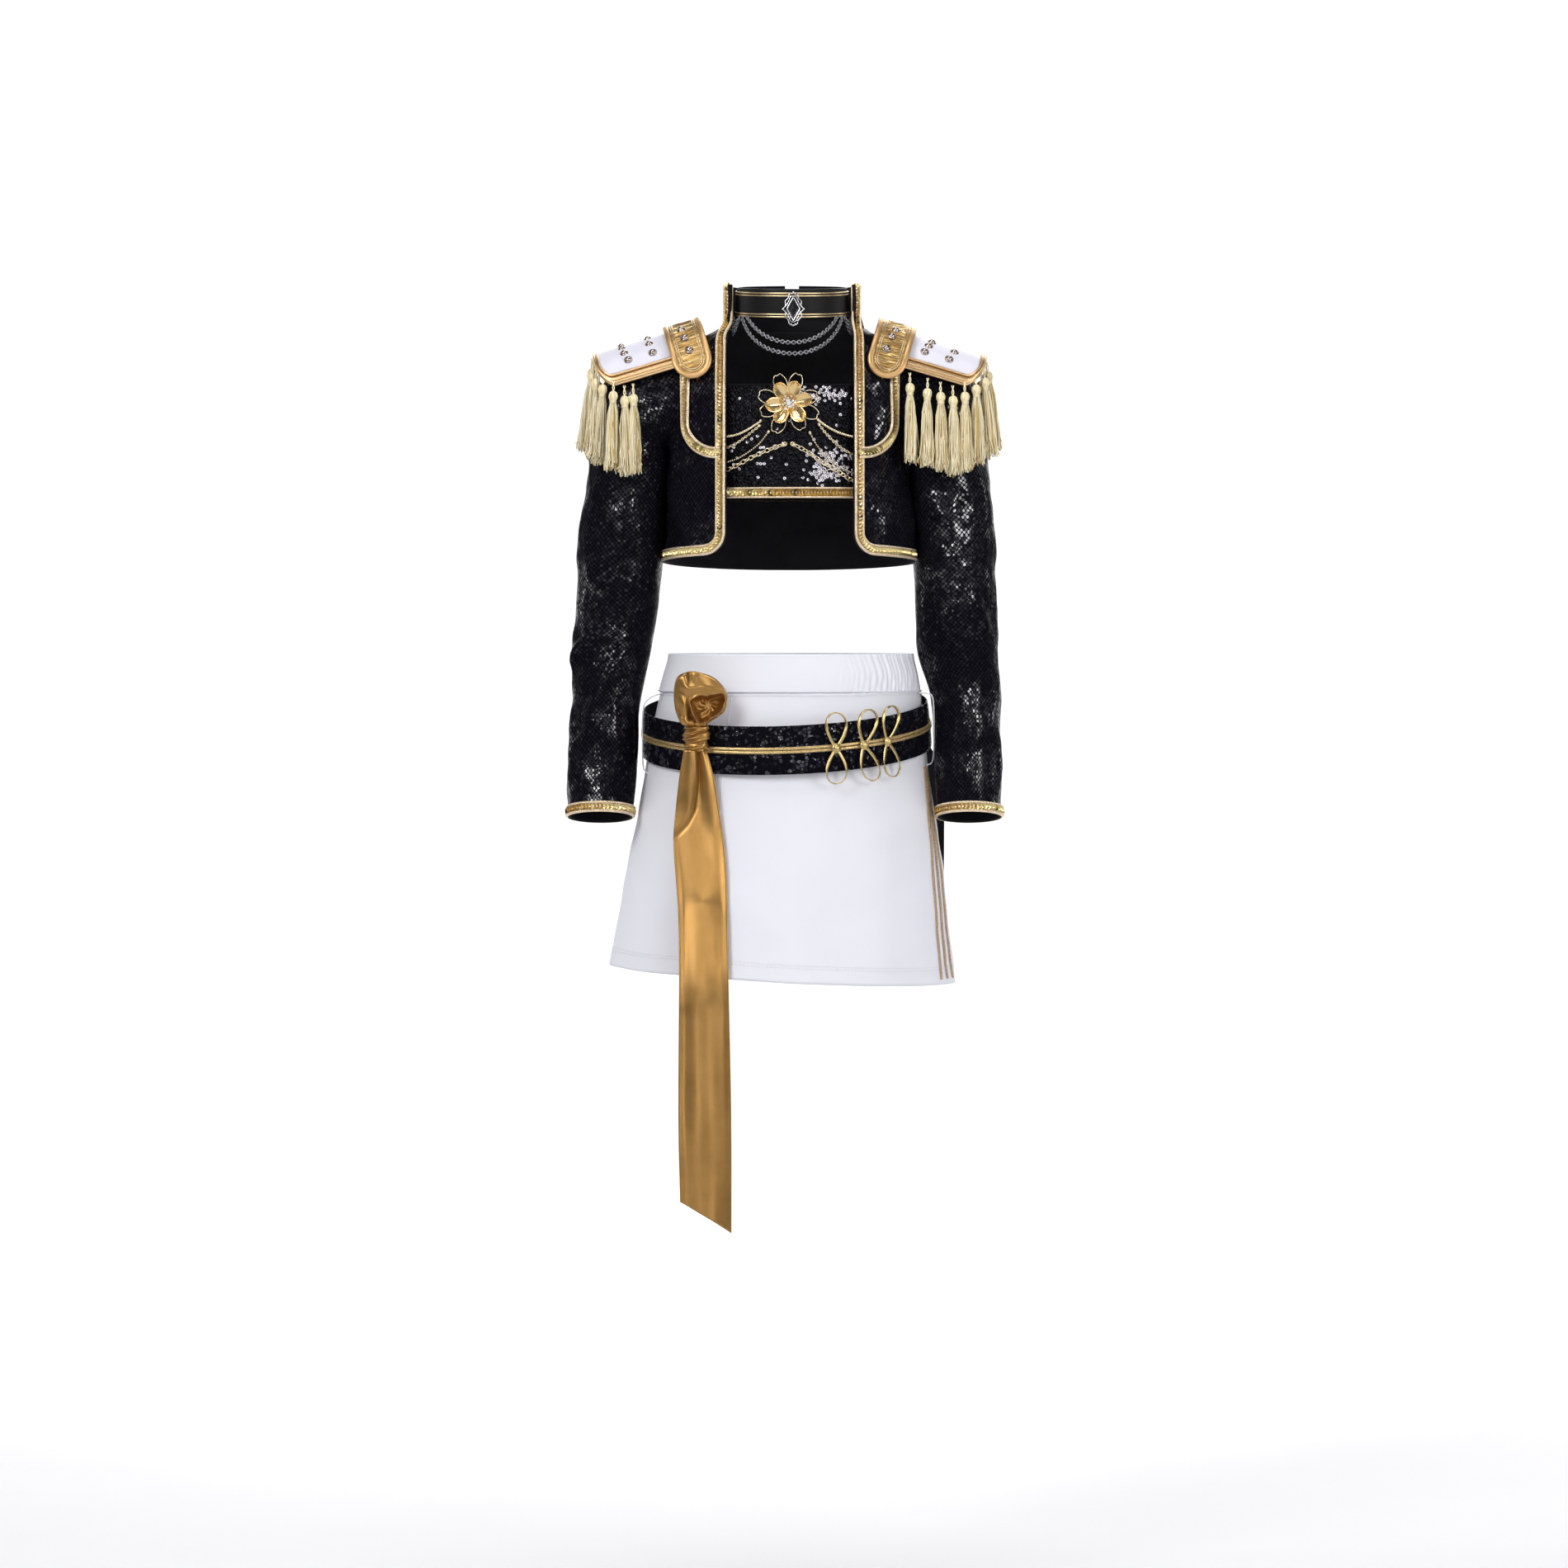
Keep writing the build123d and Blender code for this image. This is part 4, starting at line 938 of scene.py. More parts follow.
def make_skirt():
    heap = Heap()
    rows, cols = 90, 300
    theta = np.linspace(math.pi, 3 * math.pi, cols, endpoint=False)[None, :]
    v = np.linspace(0, 1, rows)[:, None]
    edge = oval_point(SKIRT, theta, np.full_like(theta, -280.0))[0]
    hem = skirt_hem(edge[:, 0], edge[:, 1])[None, :]
    z = -27 + (hem + 27) * v
    th = np.broadcast_to(theta, z.shape)
    p = oval_point(SKIRT, th, z)
    out = unit(np.stack([np.sin(th), -np.cos(th), np.zeros_like(th)], -1))
    p = p + out * skirt_folds(th, p, v)[..., None]
    closed = np.concatenate([p, p[:, :1]], 1)
    u = np.linspace(0, TAU, cols + 1)[None, :] * 130
    uv = np.stack(np.broadcast_arrays(u, np.concatenate([z, z[:, :1]], 1)), -1)
    heap.grid(closed[::-1], 0, uv[::-1])
    skirt = heap.build("skirt_cloth", [WHITE, WHITE], "skirt", ("skirt_front", "skirt_back"),
        outward=True)
    thicken(skirt, 1.4)

    band_heap = Heap()
    z2 = np.linspace(6, -27.5, 18)[:, None]
    th2 = np.broadcast_to(np.linspace(math.pi, 3 * math.pi, 721)[None, :], (18, 721))
    zz = np.broadcast_to(z2, th2.shape)
    p2 = oval_point(WAIST, th2, zz)
    out2 = np.stack([np.sin(th2), -np.cos(th2), np.zeros_like(th2)], -1)
    # elastic gathers on the wearer's left side
    gather = np.exp(-(((th2 - TAU - 1.0) / 0.5) ** 2))
    rib = 0.55 * np.sin(th2 * 118 + 2.2 * np.sin(zz * 0.16) + 1.6 * np.sin(th2 * 13)) * gather
    rib = rib + 0.42 * np.sin(th2 * 57 + zz * 0.12 + 1.2 * np.sin(th2 * 9)) * gather
    puff = 0.5 * np.sin(np.pi * (-zz / 27.5))
    p2 = p2 + out2 * (rib + puff + 0.3 * waves(p2, 31, 50))[..., None]
    uv2 = np.stack([th2 * 112, zz], -1)
    band_heap.grid(p2[::-1], 0, uv2[::-1])
    waist = band_heap.build("skirt_waistband", [WHITE, WHITE], "skirt", ("waistband",), outward=True)
    thicken(waist, 1.6)


make_skirt()


# ================================================================================================
# belt
# ================================================================================================
def make_belt():
    heap = Heap()
    th = np.linspace(math.pi, 3 * math.pi, 361)[None, :]
    prof = np.array([(-20.5, -0.7), (-20.2, 0.1), (-19.2, 0.5), (-14, 0.9), (-5, 1.1), (5, 1.1), (14, 0.9),
        (19.2, 0.5), (20.2, 0.1), (20.5, -0.7)])
    th2, dz = np.broadcast_arrays(th, prof[:, 0][:, None])
    p = belt_point(th2, dz)
    p = p + belt_normal(th2, 0.0) * (prof[:, 1][:, None] - 0.6 + 0.25 * waves(p, 41, 60))[..., None]
    uv = np.stack([th2 * 112, dz], -1)
    heap.grid(p, 0, uv)
    belt = heap.build("belt", [BELT_SCALE, LINING], "skirt", ("belt_band",), outward=True)
    thicken(belt, 1.3)
    cords = Heap()
    ring = np.linspace(0, TAU, 361)[:-1]
    for dz0 in (-1.45, 1.45):
        path = belt_point(ring, np.full_like(ring, dz0), 0.9)
        tube(cords, path, 1.35, 8, 0, closed=True, normals=belt_normal(ring), flat=0.55)
    cords.build("belt_cord", [GOLD_CORD], "skirt", ("belt_piping",))


make_belt()



# ================================================================================================
# gold trims: a strip with glitter edges and a row of cup sequins down its middle
# ================================================================================================
def disc_shape(radius, sides=10, cup=0.9):
    a = np.linspace(0, TAU, sides, endpoint=False)
    c = np.stack([np.cos(a), np.sin(a)], 1)
    rows = [(radius, 0.0), (radius * 0.62, -cup * 0.7), (radius * 0.16, -cup)]
    verts = np.concatenate([np.column_stack([c * r, np.full(sides, z)]) for r, z in rows])
    k = np.arange(sides)
    k2 = (k + 1) % sides
    faces = [np.stack([k + row * sides, k2 + row * sides, k2 + (row + 1) * sides, k + (row + 1) * sides],
        1) for row in range(2)]
    return verts, np.concatenate(faces)


def trim(heap, path, normals, width, seed, closed=False, edge=2.4, sequin=2.5, pitch=3.1):
    """Materials 0 glitter, 1 gold sequin, 2 gold sequin darkened as a painted dark reflection."""
    w = width / 2
    inner = w - edge
    prof = [(-w, -0.3), (-w, 0.5), (-w + 0.5, 1.0), (-inner - 0.5, 1.0), (-inner, 0.35), (inner, 0.35),
        (inner + 0.5, 1.0), (w - 0.5, 1.0), (w, 0.5), (w, -0.3)]
    band(heap, path, normals, prof, 0, closed)
    for across in (-w + edge / 2, w - edge / 2):
        t, s, n = frames_along(path, normals, closed)
        line = path + s * across + n * 0.85
        rope(heap, line, 0.9, 3, 3.4, 0, 5, closed, n)
    q = resample(path, step=pitch, closed=closed)
    idx = np.linspace(0, len(path) - 1, len(q)).round().astype(int)
    t, s, n = frames_along(q, np.asarray(normals)[idx], closed)
    rng = np.random.default_rng(seed)
    tilt = np.radians(21 + rng.normal(0, 5, len(q)))[:, None]
    roll = np.radians(rng.normal(0, 7, len(q)))[:, None]
    n2 = unit(n * np.cos(tilt) + t * np.sin(tilt) + s * np.sin(roll))
    t2 = unit(t - n2 * np.sum(t * n2, 1, keepdims=True))
    frames = np.stack([np.cross(t2, n2), t2, n2], 1)
    # painted dark reflection: in runs along the trim some sequins take a dark olive-gold colour
    dark = (rng.random(len(q)) < 0.30) & (np.sin(np.arange(len(q)) * 0.21 + seed) > 0.72)
    shape = disc_shape(sequin)
    for mat, pick in ((1, ~dark), (2, dark)):
        if pick.any():
            heap.copies(*shape, (q + n * 1.25)[pick], frames[pick], mat)


def trim_mats():
    return [GOLD_GLITTER, GOLD_SEQUIN, SEQUIN_PAINTED_REFLECTION]


def jacket_edge(side, inset=4.75, off=0.2):
    """The path of the trim from the side seam along the hem, round the corner, up the front and up the collar's end."""
    s = sign_of(side)
    pts, nrm = [], []
    theta_c = math.asin((OPENING + CORNER_R) / 111)
    for theta in np.linspace(math.pi / 2, theta_c, 40, endpoint=False):
        z = HEM_Z + 86 * math.cos(theta) * HEM_CLIMB + inset
        pts.append(torso_point(theta, z, off))
        nrm.append(torso_normal(theta, z))
    r = CORNER_R - inset
    flat = [(OPENING + CORNER_R + r * math.cos(a),
        CORNER_Z + CORNER_R + r * math.sin(a)) for a in np.linspace(-math.pi / 2, -math.pi, 14)]
    flat += [(OPENING + inset, z) for z in np.linspace(CORNER_Z + CORNER_R + 3, 284, 60)]
    for x, z in flat:
        p, n = torso_at_x(np.float64(x), np.float64(z), off)
        pts.append(p)
        nrm.append(n)
    for z in np.linspace(290, 325.5, 14):
        a = np.interp(z, (288, 302, 326), (63, 58.5, 58))
        b = np.interp(z, (288, 302, 326), (50, 53, 57))
        cy = np.interp(z, (288, 302, 326), (0, 1, 4))
        side_x = 2 * s + 55.5
        root = math.sqrt(max(0, 1 - (55.5 / a) ** 2))
        pts.append(np.array([side_x, cy - b * root - off, z]))
        nrm.append(unit(np.array([0.42, -0.9, 0.0])))
    pts, nrm = np.array(pts), np.array(nrm)
    for _ in range(3):
        nrm[1:-1] = unit(nrm[:-2] + nrm[1:-1] * 2 + nrm[2:])
        pts[56:-1] = (pts[55:-2] + pts[56:-1] * 2 + pts[57:]) / 4
    flip = np.array([s, 1, 1])
    return resample_with(pts * flip, nrm * flip, 2.0)


def resample_with(pts, nrm, step):
    both = np.hstack([pts, nrm])
    seg = np.linalg.norm(np.diff(pts, axis=0), axis=1)
    run = np.concatenate([[0], np.cumsum(seg)])
    at = np.linspace(0, run[-1], max(3, int(run[-1] / step)))
    out = np.stack([np.interp(at, run, both[:, k]) for k in range(6)], 1)
    return out[:, :3], unit(out[:, 3:])


def make_trims():
    for side in SIDES:
        s = sign_of(side)
        heap = Heap()
        path, nrm = jacket_edge(side)
        trim(heap, path, nrm, 9.5, 50 if side == "left" else 51)
        heap.build(f"front_edge_{side}", trim_mats(), "jacket", (f"front_trim_{side}",))
        # curved braid
        heap = Heap()
        flat = [(90.0, z) for z in np.linspace(252, 206, 22)]
        flat += [(63 + 27 * math.cos(a), 206 + 27 * math.sin(a)) for a in np.linspace(-0.06, -math.radians(86), 20)]
        flat += [(62.0, 179.0), (59.5, 179.2)]
        found = [torso_at_x(np.float64(x), np.float64(z), 0.9) for x, z in flat]
        pts = np.array([p for p, n in found]) * np.array([s, 1, 1])
        nrm = np.array([n for p, n in found]) * np.array([s, 1, 1])
        path, nrm = resample_with(pts, nrm, 2.0)
        trim(heap, path, nrm, 10, 52 if side == "left" else 53)
        heap.build(f"braid_{side}_band", trim_mats(), "jacket", (f"braid_{side}",))
        # cuff
        heap = Heap()
        arm = Arm(side)
        theta = np.linspace(0, TAU, 90, endpoint=False)
        t = np.full_like(theta, 1 - 4.75 / arm.length)
        path, nrm = arm.point(theta, t, 0.3), arm.normal(theta, t)
        if s < 0:
            path, nrm = path[::-1], nrm[::-1]
        trim(heap, path, nrm, 9.5, 54 if side == "left" else 55, closed=True)
        heap.build(f"cuff_{side}", trim_mats(), f"forearm_{side}", (f"cuff_trim_{side}",))
    heap = Heap()
    theta = np.linspace(math.pi / 2, math.pi * 1.5, 130)
    z = HEM_Z + 86 * np.cos(theta) * HEM_CLIMB + 4.75
    path, nrm = torso_point(theta, z, 0.2), torso_normal(theta, z)
    trim(heap, path, nrm, 9.5, 56)
    heap.build("back_hem", trim_mats(), "jacket", ("hem_trim_back",))
    # bandeau hem
    heap = Heap()
    theta = np.linspace(0, TAU, 200, endpoint=False)
    z = np.full_like(theta, 144.75)
    path = oval_point(BANDEAU, theta, z, 0.3)
    trim(heap, path, np.stack([np.sin(theta), -np.cos(theta), 0 * theta], 1), 9.5, 57, closed=True, edge=1.8,
        sequin=2.9, pitch=2.7)
    heap.build("bandeau_hem", trim_mats(), "top", ("bandeau_trim",))


def make_collar():
    heap = Heap()
    rows, cols = 22, 120
    z = np.linspace(287, 326, rows)
    a = np.interp(z, (288, 302, 326), (63, 58.5, 58))
    b = np.interp(z, (288, 302, 326), (50, 53, 57))
    cy = np.interp(z, (288, 302, 326), (0, 1, 4))
    pts = np.zeros((rows, cols, 3))
    for i in range(rows):
        theta0 = math.asin(min(0.999, 53.5 / a[i]))
        theta = np.linspace(theta0, TAU - theta0, cols)
        pts[i] = np.stack([2 + a[i] * np.sin(theta), cy[i] - b[i] * np.cos(theta), np.full(cols, z[i])], -1)
    pts += unit(pts * [1, 1, 0]) * (0.6 * waves(pts, 61, 30))[..., None]
    uv = np.stack(np.broadcast_arrays(np.linspace(0, 260, cols)[None, :], z[:, None]), -1)
    heap.grid(pts, 0, uv)
    obj = heap.build("collar_cloth", [BLACK_SCALE, LINING], "jacket", ("collar",), outward=True)
    thicken(obj, 2.0)


# ================================================================================================
# bandeau with its ring sequins
# ================================================================================================
BANDEAU = [(140, 96, 69, 0), (175, 97, 71, 0), (210, 98, 70, 0), (238, 97, 66.5, 0)]


def bandeau_depth(x, z, off=0.0):
    a, b = table(BANDEAU, 1, z), table(BANDEAU, 2, z)
    return -(b + off) * np.sqrt(np.maximum(0, 1 - (x / (a + off)) ** 2))


def make_bandeau():
    for part, t0 in (("front", -math.pi / 2), ("back", math.pi / 2)):
        heap = Heap()
        theta = np.linspace(t0, t0 + math.pi, 140)[None, :]
        z = np.linspace(140.3, 237.4, 40)[:, None]
        th, zz = np.broadcast_arrays(theta, z)
        p = oval_point(BANDEAU, th, zz, -0.4)
        p = p + unit(np.stack([np.sin(th), -np.cos(th), 0 * th], -1)) * (0.35 * waves(p, 71, 24))[..., None]
        heap.grid(p, 0, np.stack([th * 84, zz], -1))
        rng = np.random.default_rng(72 if part == "front" else 73)
        places, frames, silver = [], [], []
        row = 0
        for height in np.arange(150.5, 236.5, 2.35):
            step = 2.75 / 84
            angles = np.arange(t0 + (row % 2) * step / 2, t0 + math.pi, step)
            angles = angles + rng.normal(0, 0.004, len(angles))
            zs = height + rng.normal(0, 0.35, len(angles))
            pos = oval_point(BANDEAU, angles, zs, 0.15)
            n = np.stack([np.sin(angles), -np.cos(angles), 0 * angles], 1)
            n = unit(n + rng.normal(0, 0.20, n.shape) + np.array([0, 0, 0.15]))
            t = unit(np.cross(np.array([0, 0, 1.0]), n))
            places.append(pos)
            frames.append(np.stack([t, np.cross(n, t), n], 1))
            x = pos[:, 0]
            # painted glint: in a few patches on the front, and a few at random elsewhere, ring sequins take the light
            # painted-glint colour
            near = np.exp(-(((x - 30) / 17) ** 2 + ((zs - 228) / 6) ** 2)) * 0.75
            near += np.exp(-(((x - 34) / 15) ** 2 + ((zs - 168) / 15) ** 2)) * 0.9
            near += np.exp(-(((x + 30) / 20) ** 2 + ((zs - 176) / 14) ** 2)) * 0.12
            silver.append(rng.random(len(x)) < near * 1.35 * (pos[:, 1] < 0) + 0.008)
            row += 1
        places, frames, silver = np.concatenate(places), np.concatenate(frames), np.concatenate(silver)
        shape = ring_shape(1.5, 0.62, 7, 0.35, 0.12)
        for mat, pick in ((1, ~silver), (2, silver)):
            heap.copies(*shape, places[pick], frames[pick], mat)
        # rolled top edge
        line = oval_point(BANDEAU, np.linspace(t0, t0 + math.pi, 160), np.full(160, 237.2), -0.2)
        tube(heap, line, 0.9, 8, 0, caps=False)
        heap.build(f"bandeau_{part}_cloth", [KNIT, RING, RING_PAINTED_GLINT], "top", (f"bandeau_{part}",))


# ================================================================================================
# flower brooch and its chains
# ================================================================================================
BROOCH_X, BROOCH_Z = -1.0, 221.0
BROOCH_Y = float(bandeau_depth(np.float64(BROOCH_X), np.float64(BROOCH_Z))) - 2.2


def on_brooch(points, angle, radius=0.0, tilt=0.0, lift=0.0):
    """Points drawn flat with +Y along the petal and +Z towards the viewer, set round the flower's middle."""
    p = np.asarray(points, float)
    shape = p.shape
    p = p.reshape(-1, 3)
    a, b = math.radians(tilt), math.radians(angle)
    y = p[:, 1] * math.cos(a) - p[:, 2] * math.sin(a) + radius
    h = p[:, 1] * math.sin(a) + p[:, 2] * math.cos(a) + lift
    x = p[:, 0] * math.cos(b) - y * math.sin(b)
    z = p[:, 0] * math.sin(b) + y * math.cos(b)
    return np.stack([BROOCH_X + x, BROOCH_Y - h, BROOCH_Z + z], 1).reshape(shape)


def make_brooch():
    heap = Heap()
    for k, angle in enumerate((32, -20, -78, -140, 147, 97)):
        s = np.linspace(-1, 1, 16)[:, None]
        c = np.linspace(-1, 1, 11)[None, :]
        half = 6.1 * np.sqrt(np.clip(1 - np.abs(s) ** 2.2, 0, 1)) * (1 + 0.15 * s)
        x = half * c
        y = 9.4 * s + 0 * c
        z = 3.0 * (c ** 2) * np.sqrt(np.clip(1 - s ** 2, 0, 1)) + 1.5 * s ** 2 * (s > 0) - 0.5 * np.exp(-(c * 4) ** 2)
        grid = on_brooch(np.stack(np.broadcast_arrays(x, y, z), -1), angle, 12.0, 24 + 3 * math.sin(k * 2.2), 5.6)
        heap.grid(grid, 0)
    petals = heap.build("petals", [GILT], "top", ("flower_petals",))
    thicken(petals, 0.45, 0, 0.0)
    heap = Heap()
    for k in range(8):
        a = np.linspace(0, TAU, 60, endpoint=False)
        x = 5.6 * np.sin(a) * (1 - 0.18 * np.cos(a))
        y = -8.6 * np.cos(a) + 1.5 * np.cos(a * 2) * (np.cos(a) < 0) * np.abs(np.cos(a)) - 2.0 * np.exp(-((a - math.pi) / 0.28) ** 2)
        z = 0.8 * np.sin(a * 2 + k) + 0.5
        ring = on_brooch(np.stack([x, y, z], 1), 22.5 + 45 * k + 6 * math.sin(k * 1.9),
            17.4 + 1.2 * math.sin(k * 2.7), 6 * math.cos(k * 1.3), 2.2)
        tube(heap, ring, 0.42, 7, 0, closed=True)
    heap.build("wire_petals", [CHAMPAGNE], "top", ("flower_wires",))
    heap = Heap()
    rng = np.random.default_rng(81)
    ball = ball_shape(1.0, 7, 10)
    centre = on_brooch(np.array([[0.0, 0, 6.4]]), 0)[0]
    places, sizes = [centre], [2.3]
    for k in range(16):
        a = TAU * k / 16 * 2.4 + rng.uniform(0, 0.6)
        r = 2.2 + 4.6 * (k / 16)
        tip = on_brooch(np.array([[r * math.cos(a), r * math.sin(a), 8.3 - 0.25 * r]]), 0)[0]
        places.append(tip)
        sizes.append(rng.uniform(0.75, 1.35))
        base = on_brooch(np.array([[r * 0.3 * math.cos(a), r * 0.3 * math.sin(a), 5.0]]), 0)[0]
        tube(heap, np.array([base, (base + tip) / 2 + [0, -0.4, 0], tip]), 0.28, 5, 1, caps=False)
    eye = np.eye(3)
    heap.copies(*ball, np.array(places), np.broadcast_to(eye, (len(places), 3, 3)), 0, np.array(sizes))
    heap.build("stamens", [CRYSTAL, CHAMPAGNE], "top", ("flower_centre",))
    heap = Heap()
    a = np.linspace(0, TAU, 40)[:-1]
    rows = np.array([[on_brooch(np.array([[r * math.cos(t), r * math.sin(t), h]]), 0)[0] for t in a] for r,
        h in ((0.5, -0.4), (6.6, -0.4), (7.2, -0.8), (6.6, -1.1))])
    heap.grid(rows, 0, wrap_v=True)
    bar = np.array([[BROOCH_X - 8.5, BROOCH_Y + 1.0, BROOCH_Z - 5], [BROOCH_X, BROOCH_Y + 0.5, BROOCH_Z - 5],
        [BROOCH_X + 8.5, BROOCH_Y + 1.0, BROOCH_Z - 5]])
    tube(heap, bar, 0.6, 8, 0)
    heap.build("pin", [GILT], "top", ("brooch_pin",))


def links(heap, path, normals, length=3.3, width=2.3, wire=0.36, mat=0, flat=False):
    """Oval chain links, each a quarter turn from its neighbours."""
    q = resample(path, step=length - 2.1 * wire)
    idx = np.linspace(0, len(path) - 1, len(q)).round().astype(int)
    t, s, n = frames_along(q, np.asarray(normals)[idx])
    a = np.linspace(0, TAU, 12, endpoint=False)
    oval = np.stack([np.cos(a) * length / 2, np.sin(a) * width / 2, 0 * a], 1)
    one = Heap()
    tube(one, oval, wire, 5, 0, closed=True)
    verts, faces = one.verts[0], one.faces[0]
    turn = np.where(np.arange(len(q)) % 2, 0.9 if flat else math.pi / 2, 0.0)
    c, d = np.cos(turn)[:, None], np.sin(turn)[:, None]
    frames = np.stack([t, s * c + n * d, -s * d + n * c], 1)
    heap.copies(verts, faces, q, frames, mat)


def beads(heap, path, radius, step, mat=0):
    q = resample(path, step=step)
    heap.copies(*ball_shape(1.0, 5, 8), q, np.broadcast_to(np.eye(3), (len(q), 3, 3)), mat, np.full(len(q), radius))


STRANDS = {
    "left": [
        [(24, 207), (32, 201), (42, 196), (52, 193), (62, 191)],
        [(25, 203), (33, 193), (43, 184), (53, 178), (62, 174)],
        [(17, 196), (24, 184), (33, 174), (44, 166), (56, 161)],
        [(3, 186), (14, 180), (26, 172), (38, 165), (49, 158), (59, 153)],
    ],
    "right": [
        [(-25, 206), (-34, 200), (-44, 195), (-54, 193), (-63, 192)],
        [(-26, 202), (-36, 194), (-46, 187), (-55, 183), (-63, 181)],
        [(-18, 197), (-26, 187), (-36, 179), (-47, 173), (-58, 170)],
        [(-5, 186), (-16, 182), (-28, 177), (-40, 171), (-50, 166), (-60, 163)],
    ],
}


def make_strands():
    for side in SIDES:
        heap = Heap()
        for k, stops in enumerate(STRANDS[side]):
            flat = smooth_path(np.array(stops, float), 80)
            off = (2.6, 2.4, 2.6, 4.2)[k]
            p = np.stack([flat[:, 0], bandeau_depth(flat[:, 0], flat[:, 1], off), flat[:, 1]], 1)
            n = unit(p * [1 / 97 ** 2, 1 / 70 ** 2, 0])
            if k == 0:
                rope(heap, p, 1.15, 2, 3.8, 0, 6, normals=n)
            elif k == 1:
                links(heap, p, n, 2.6, 1.9, 0.34, 0)
            elif k == 2:
                beads(heap, p, 0.8, 2.0, 0)
            else:
                links(heap, p, n, 5.0, 3.3, 0.48, 0, flat=True)
            beads(heap, p[:2] + n[:2] * 0.2, 1.4, 1, 0)
        heap.build(f"strands_{side}", [CHAMPAGNE], "top", (f"chains_{side}",))


# ================================================================================================
# choker
# ================================================================================================
CHOKER_TURN = np.array(Matrix.Rotation(math.radians(5), 3, "X"))
CHOKER_AT = np.array([2.0, -5.0, 311.5])


def on_choker(p):
    return np.asarray(p, float) @ CHOKER_TURN.T + CHOKER_AT


def choker_ring(theta, z, off=0.0):
    r = 48.5 - 0.5 * z / 12.5 + off
    return on_choker(np.stack(np.broadcast_arrays(r * np.sin(theta), -r * np.cos(theta), z), -1))


def make_choker():
    gap = 6.2 / 48.5
    theta = np.linspace(-math.pi + gap, math.pi - gap, 220)
    heap = Heap()
    z = np.array([-12.5, -12.4, -12, -10, -5, 0, 5, 10, 12, 12.4, 12.5])[:, None]
    puff = np.array([-1.4, -0.6, -0.2, 0.0, 0.15, 0.2, 0.15, 0, -0.2, -0.6, -1.4])[:, None]
    p = choker_ring(theta[None, :], z, puff + 0.0)
    heap.grid(p, 0, np.stack(np.broadcast_arrays(theta[None, :] * 48, z), -1))
    obj = heap.build("choker_cloth", [VELVET, LINING], "choker", ("choker_band",), outward=True)
    thicken(obj, 1.0)
    heap = Heap()
    normals = unit(np.stack([np.sin(theta), -np.cos(theta), 0 * theta], 1) @ CHOKER_TURN.T)
    for low in (-12.1, 5.9):
        for dz in (0.7, 2.9):
            tube(heap, choker_ring(theta, low + dz, 0.55), 0.72, 7, 0, normals=normals)
        band(heap, choker_ring(theta, low + 1.8, 0.35), normals, [(-0.8, 0), (-0.5, 0.2), (0.5, 0.2), (0.8, 0)], 1)
    heap.build("choker_lines", [GOLD_LINE, VELVET], "choker", ("choker_piping",))
    heap = Heap()
    for x in (-4.4, 4.4):
        tube(heap, on_choker([[x, 47.6, h] for h in np.linspace(-9.6, 9.6, 6)]), 1.3, 8, 0)
    links(heap, on_choker([[x, 47.4, 0] for x in np.linspace(-3.6, 3.6, 12)]),
        on_choker([[0, 1, 0]] * 12) - on_choker([[0, 0, 0]] * 12), 3.4, 2.6, 0.4)
    heap.build("clasp", [SILVER], "choker", ("choker_clasp",))
    # pendant
    px, py, pz = 3.0, -56.6, 302.5

    def flat(points, out=0.0):
        q = np.asarray(points, float)
        return np.stack([px + q[:, 0], np.full(len(q), py - out), pz + q[:, 1]], 1)

    heap = Heap()
    diamond = [(5.6, 0), (0, 10.2), (-5.6, 0), (0, -10.2)]
    tube(heap, resample(flat(diamond, 1.2), count=64, closed=True), 0.52, 7, 0, closed=True)
    for sx in (-1, 1):
        for sz in (-1, 1):
            curl = smooth_path(flat([(0, 14.4 * sz), (sx * 3.4, 12.6 * sz), (sx * 4.4, 9.4 * sz),
                (sx * 6.9, 6.6 * sz), (sx * 6.6, 3.4 * sz), (sx * 8.4, 0.6 * sz)], 0.8), 50)
            tube(heap, curl, 0.46, 6, 0)
            curl = smooth_path(flat([(0, 11.4 * sz), (sx * 2.6, 9.8 * sz), (sx * 5.0, 4.6 * sz),
                (sx * 7.6, 1.2 * sz)], 1.1), 30)
            tube(heap, curl, 0.38, 6, 0)
    dots = [(-9, 0, 1.25), (9, 0, 1.25), (-7.4, 1.7, 0.85), (7.4, 1.7, 0.85), (-7.4, -1.7, 0.85), (7.4, -1.7, 0.85),
        (0, 14.2, 1.1), (-1.6, 13, 0.8), (1.6, 13, 0.8), (0, -14.2, 1.1), (-1.7, -13, 0.85), (1.7, -13, 0.85)]
    heap.copies(*ball_shape(1.0, 7, 10), flat([d[:2] for d in dots], 1.0),
        np.broadcast_to(np.eye(3), (len(dots), 3, 3)), 0, np.array([d[2] * 0.8 for d in dots]))
    heap.build("pendant", [SILVER], "choker", ("pendant_frame",))
    heap = Heap()
    rows = []
    for size, out in ((1.0, 0.2), (0.98, 1.0), (0.62, 2.0), (0.05, 2.1)):
        ring = resample(np.array([(5.0, 0), (0, 9.3), (-5.0, 0), (0, -9.3)]) * size, count=16, closed=True)
        rows.append(flat(ring, out))
    heap.grid(np.array(rows), 0, wrap_v=True)
    heap.build("pendant_gem", [STONE], "choker", ("pendant_stone",), smooth=False)
    # hanging chains
    heap = Heap()
    for a0, a1, z0, z1, drop, reach in ((-49, 49, 296.1, 296.1, 22.5, 3.2), (-57, 57, 295.5, 295.5, 31.5, 6.6)):
        links(heap, *swag(a0, a1, z0, z1, drop, reach), 3.6, 2.9, 0.55)
    heap.build("neck_chains", [DARK_METAL], "swags", ("choker_swags",))
    heap = Heap()
    for s in (-1, 1):
        links(heap, *swag(s * 64, s * 100, 296.1, 297.5, 14, 1.0), 3.6, 2.9, 0.55)
    heap.build("side_chains", [DARK_METAL], "choker", ("choker_side_swags",))


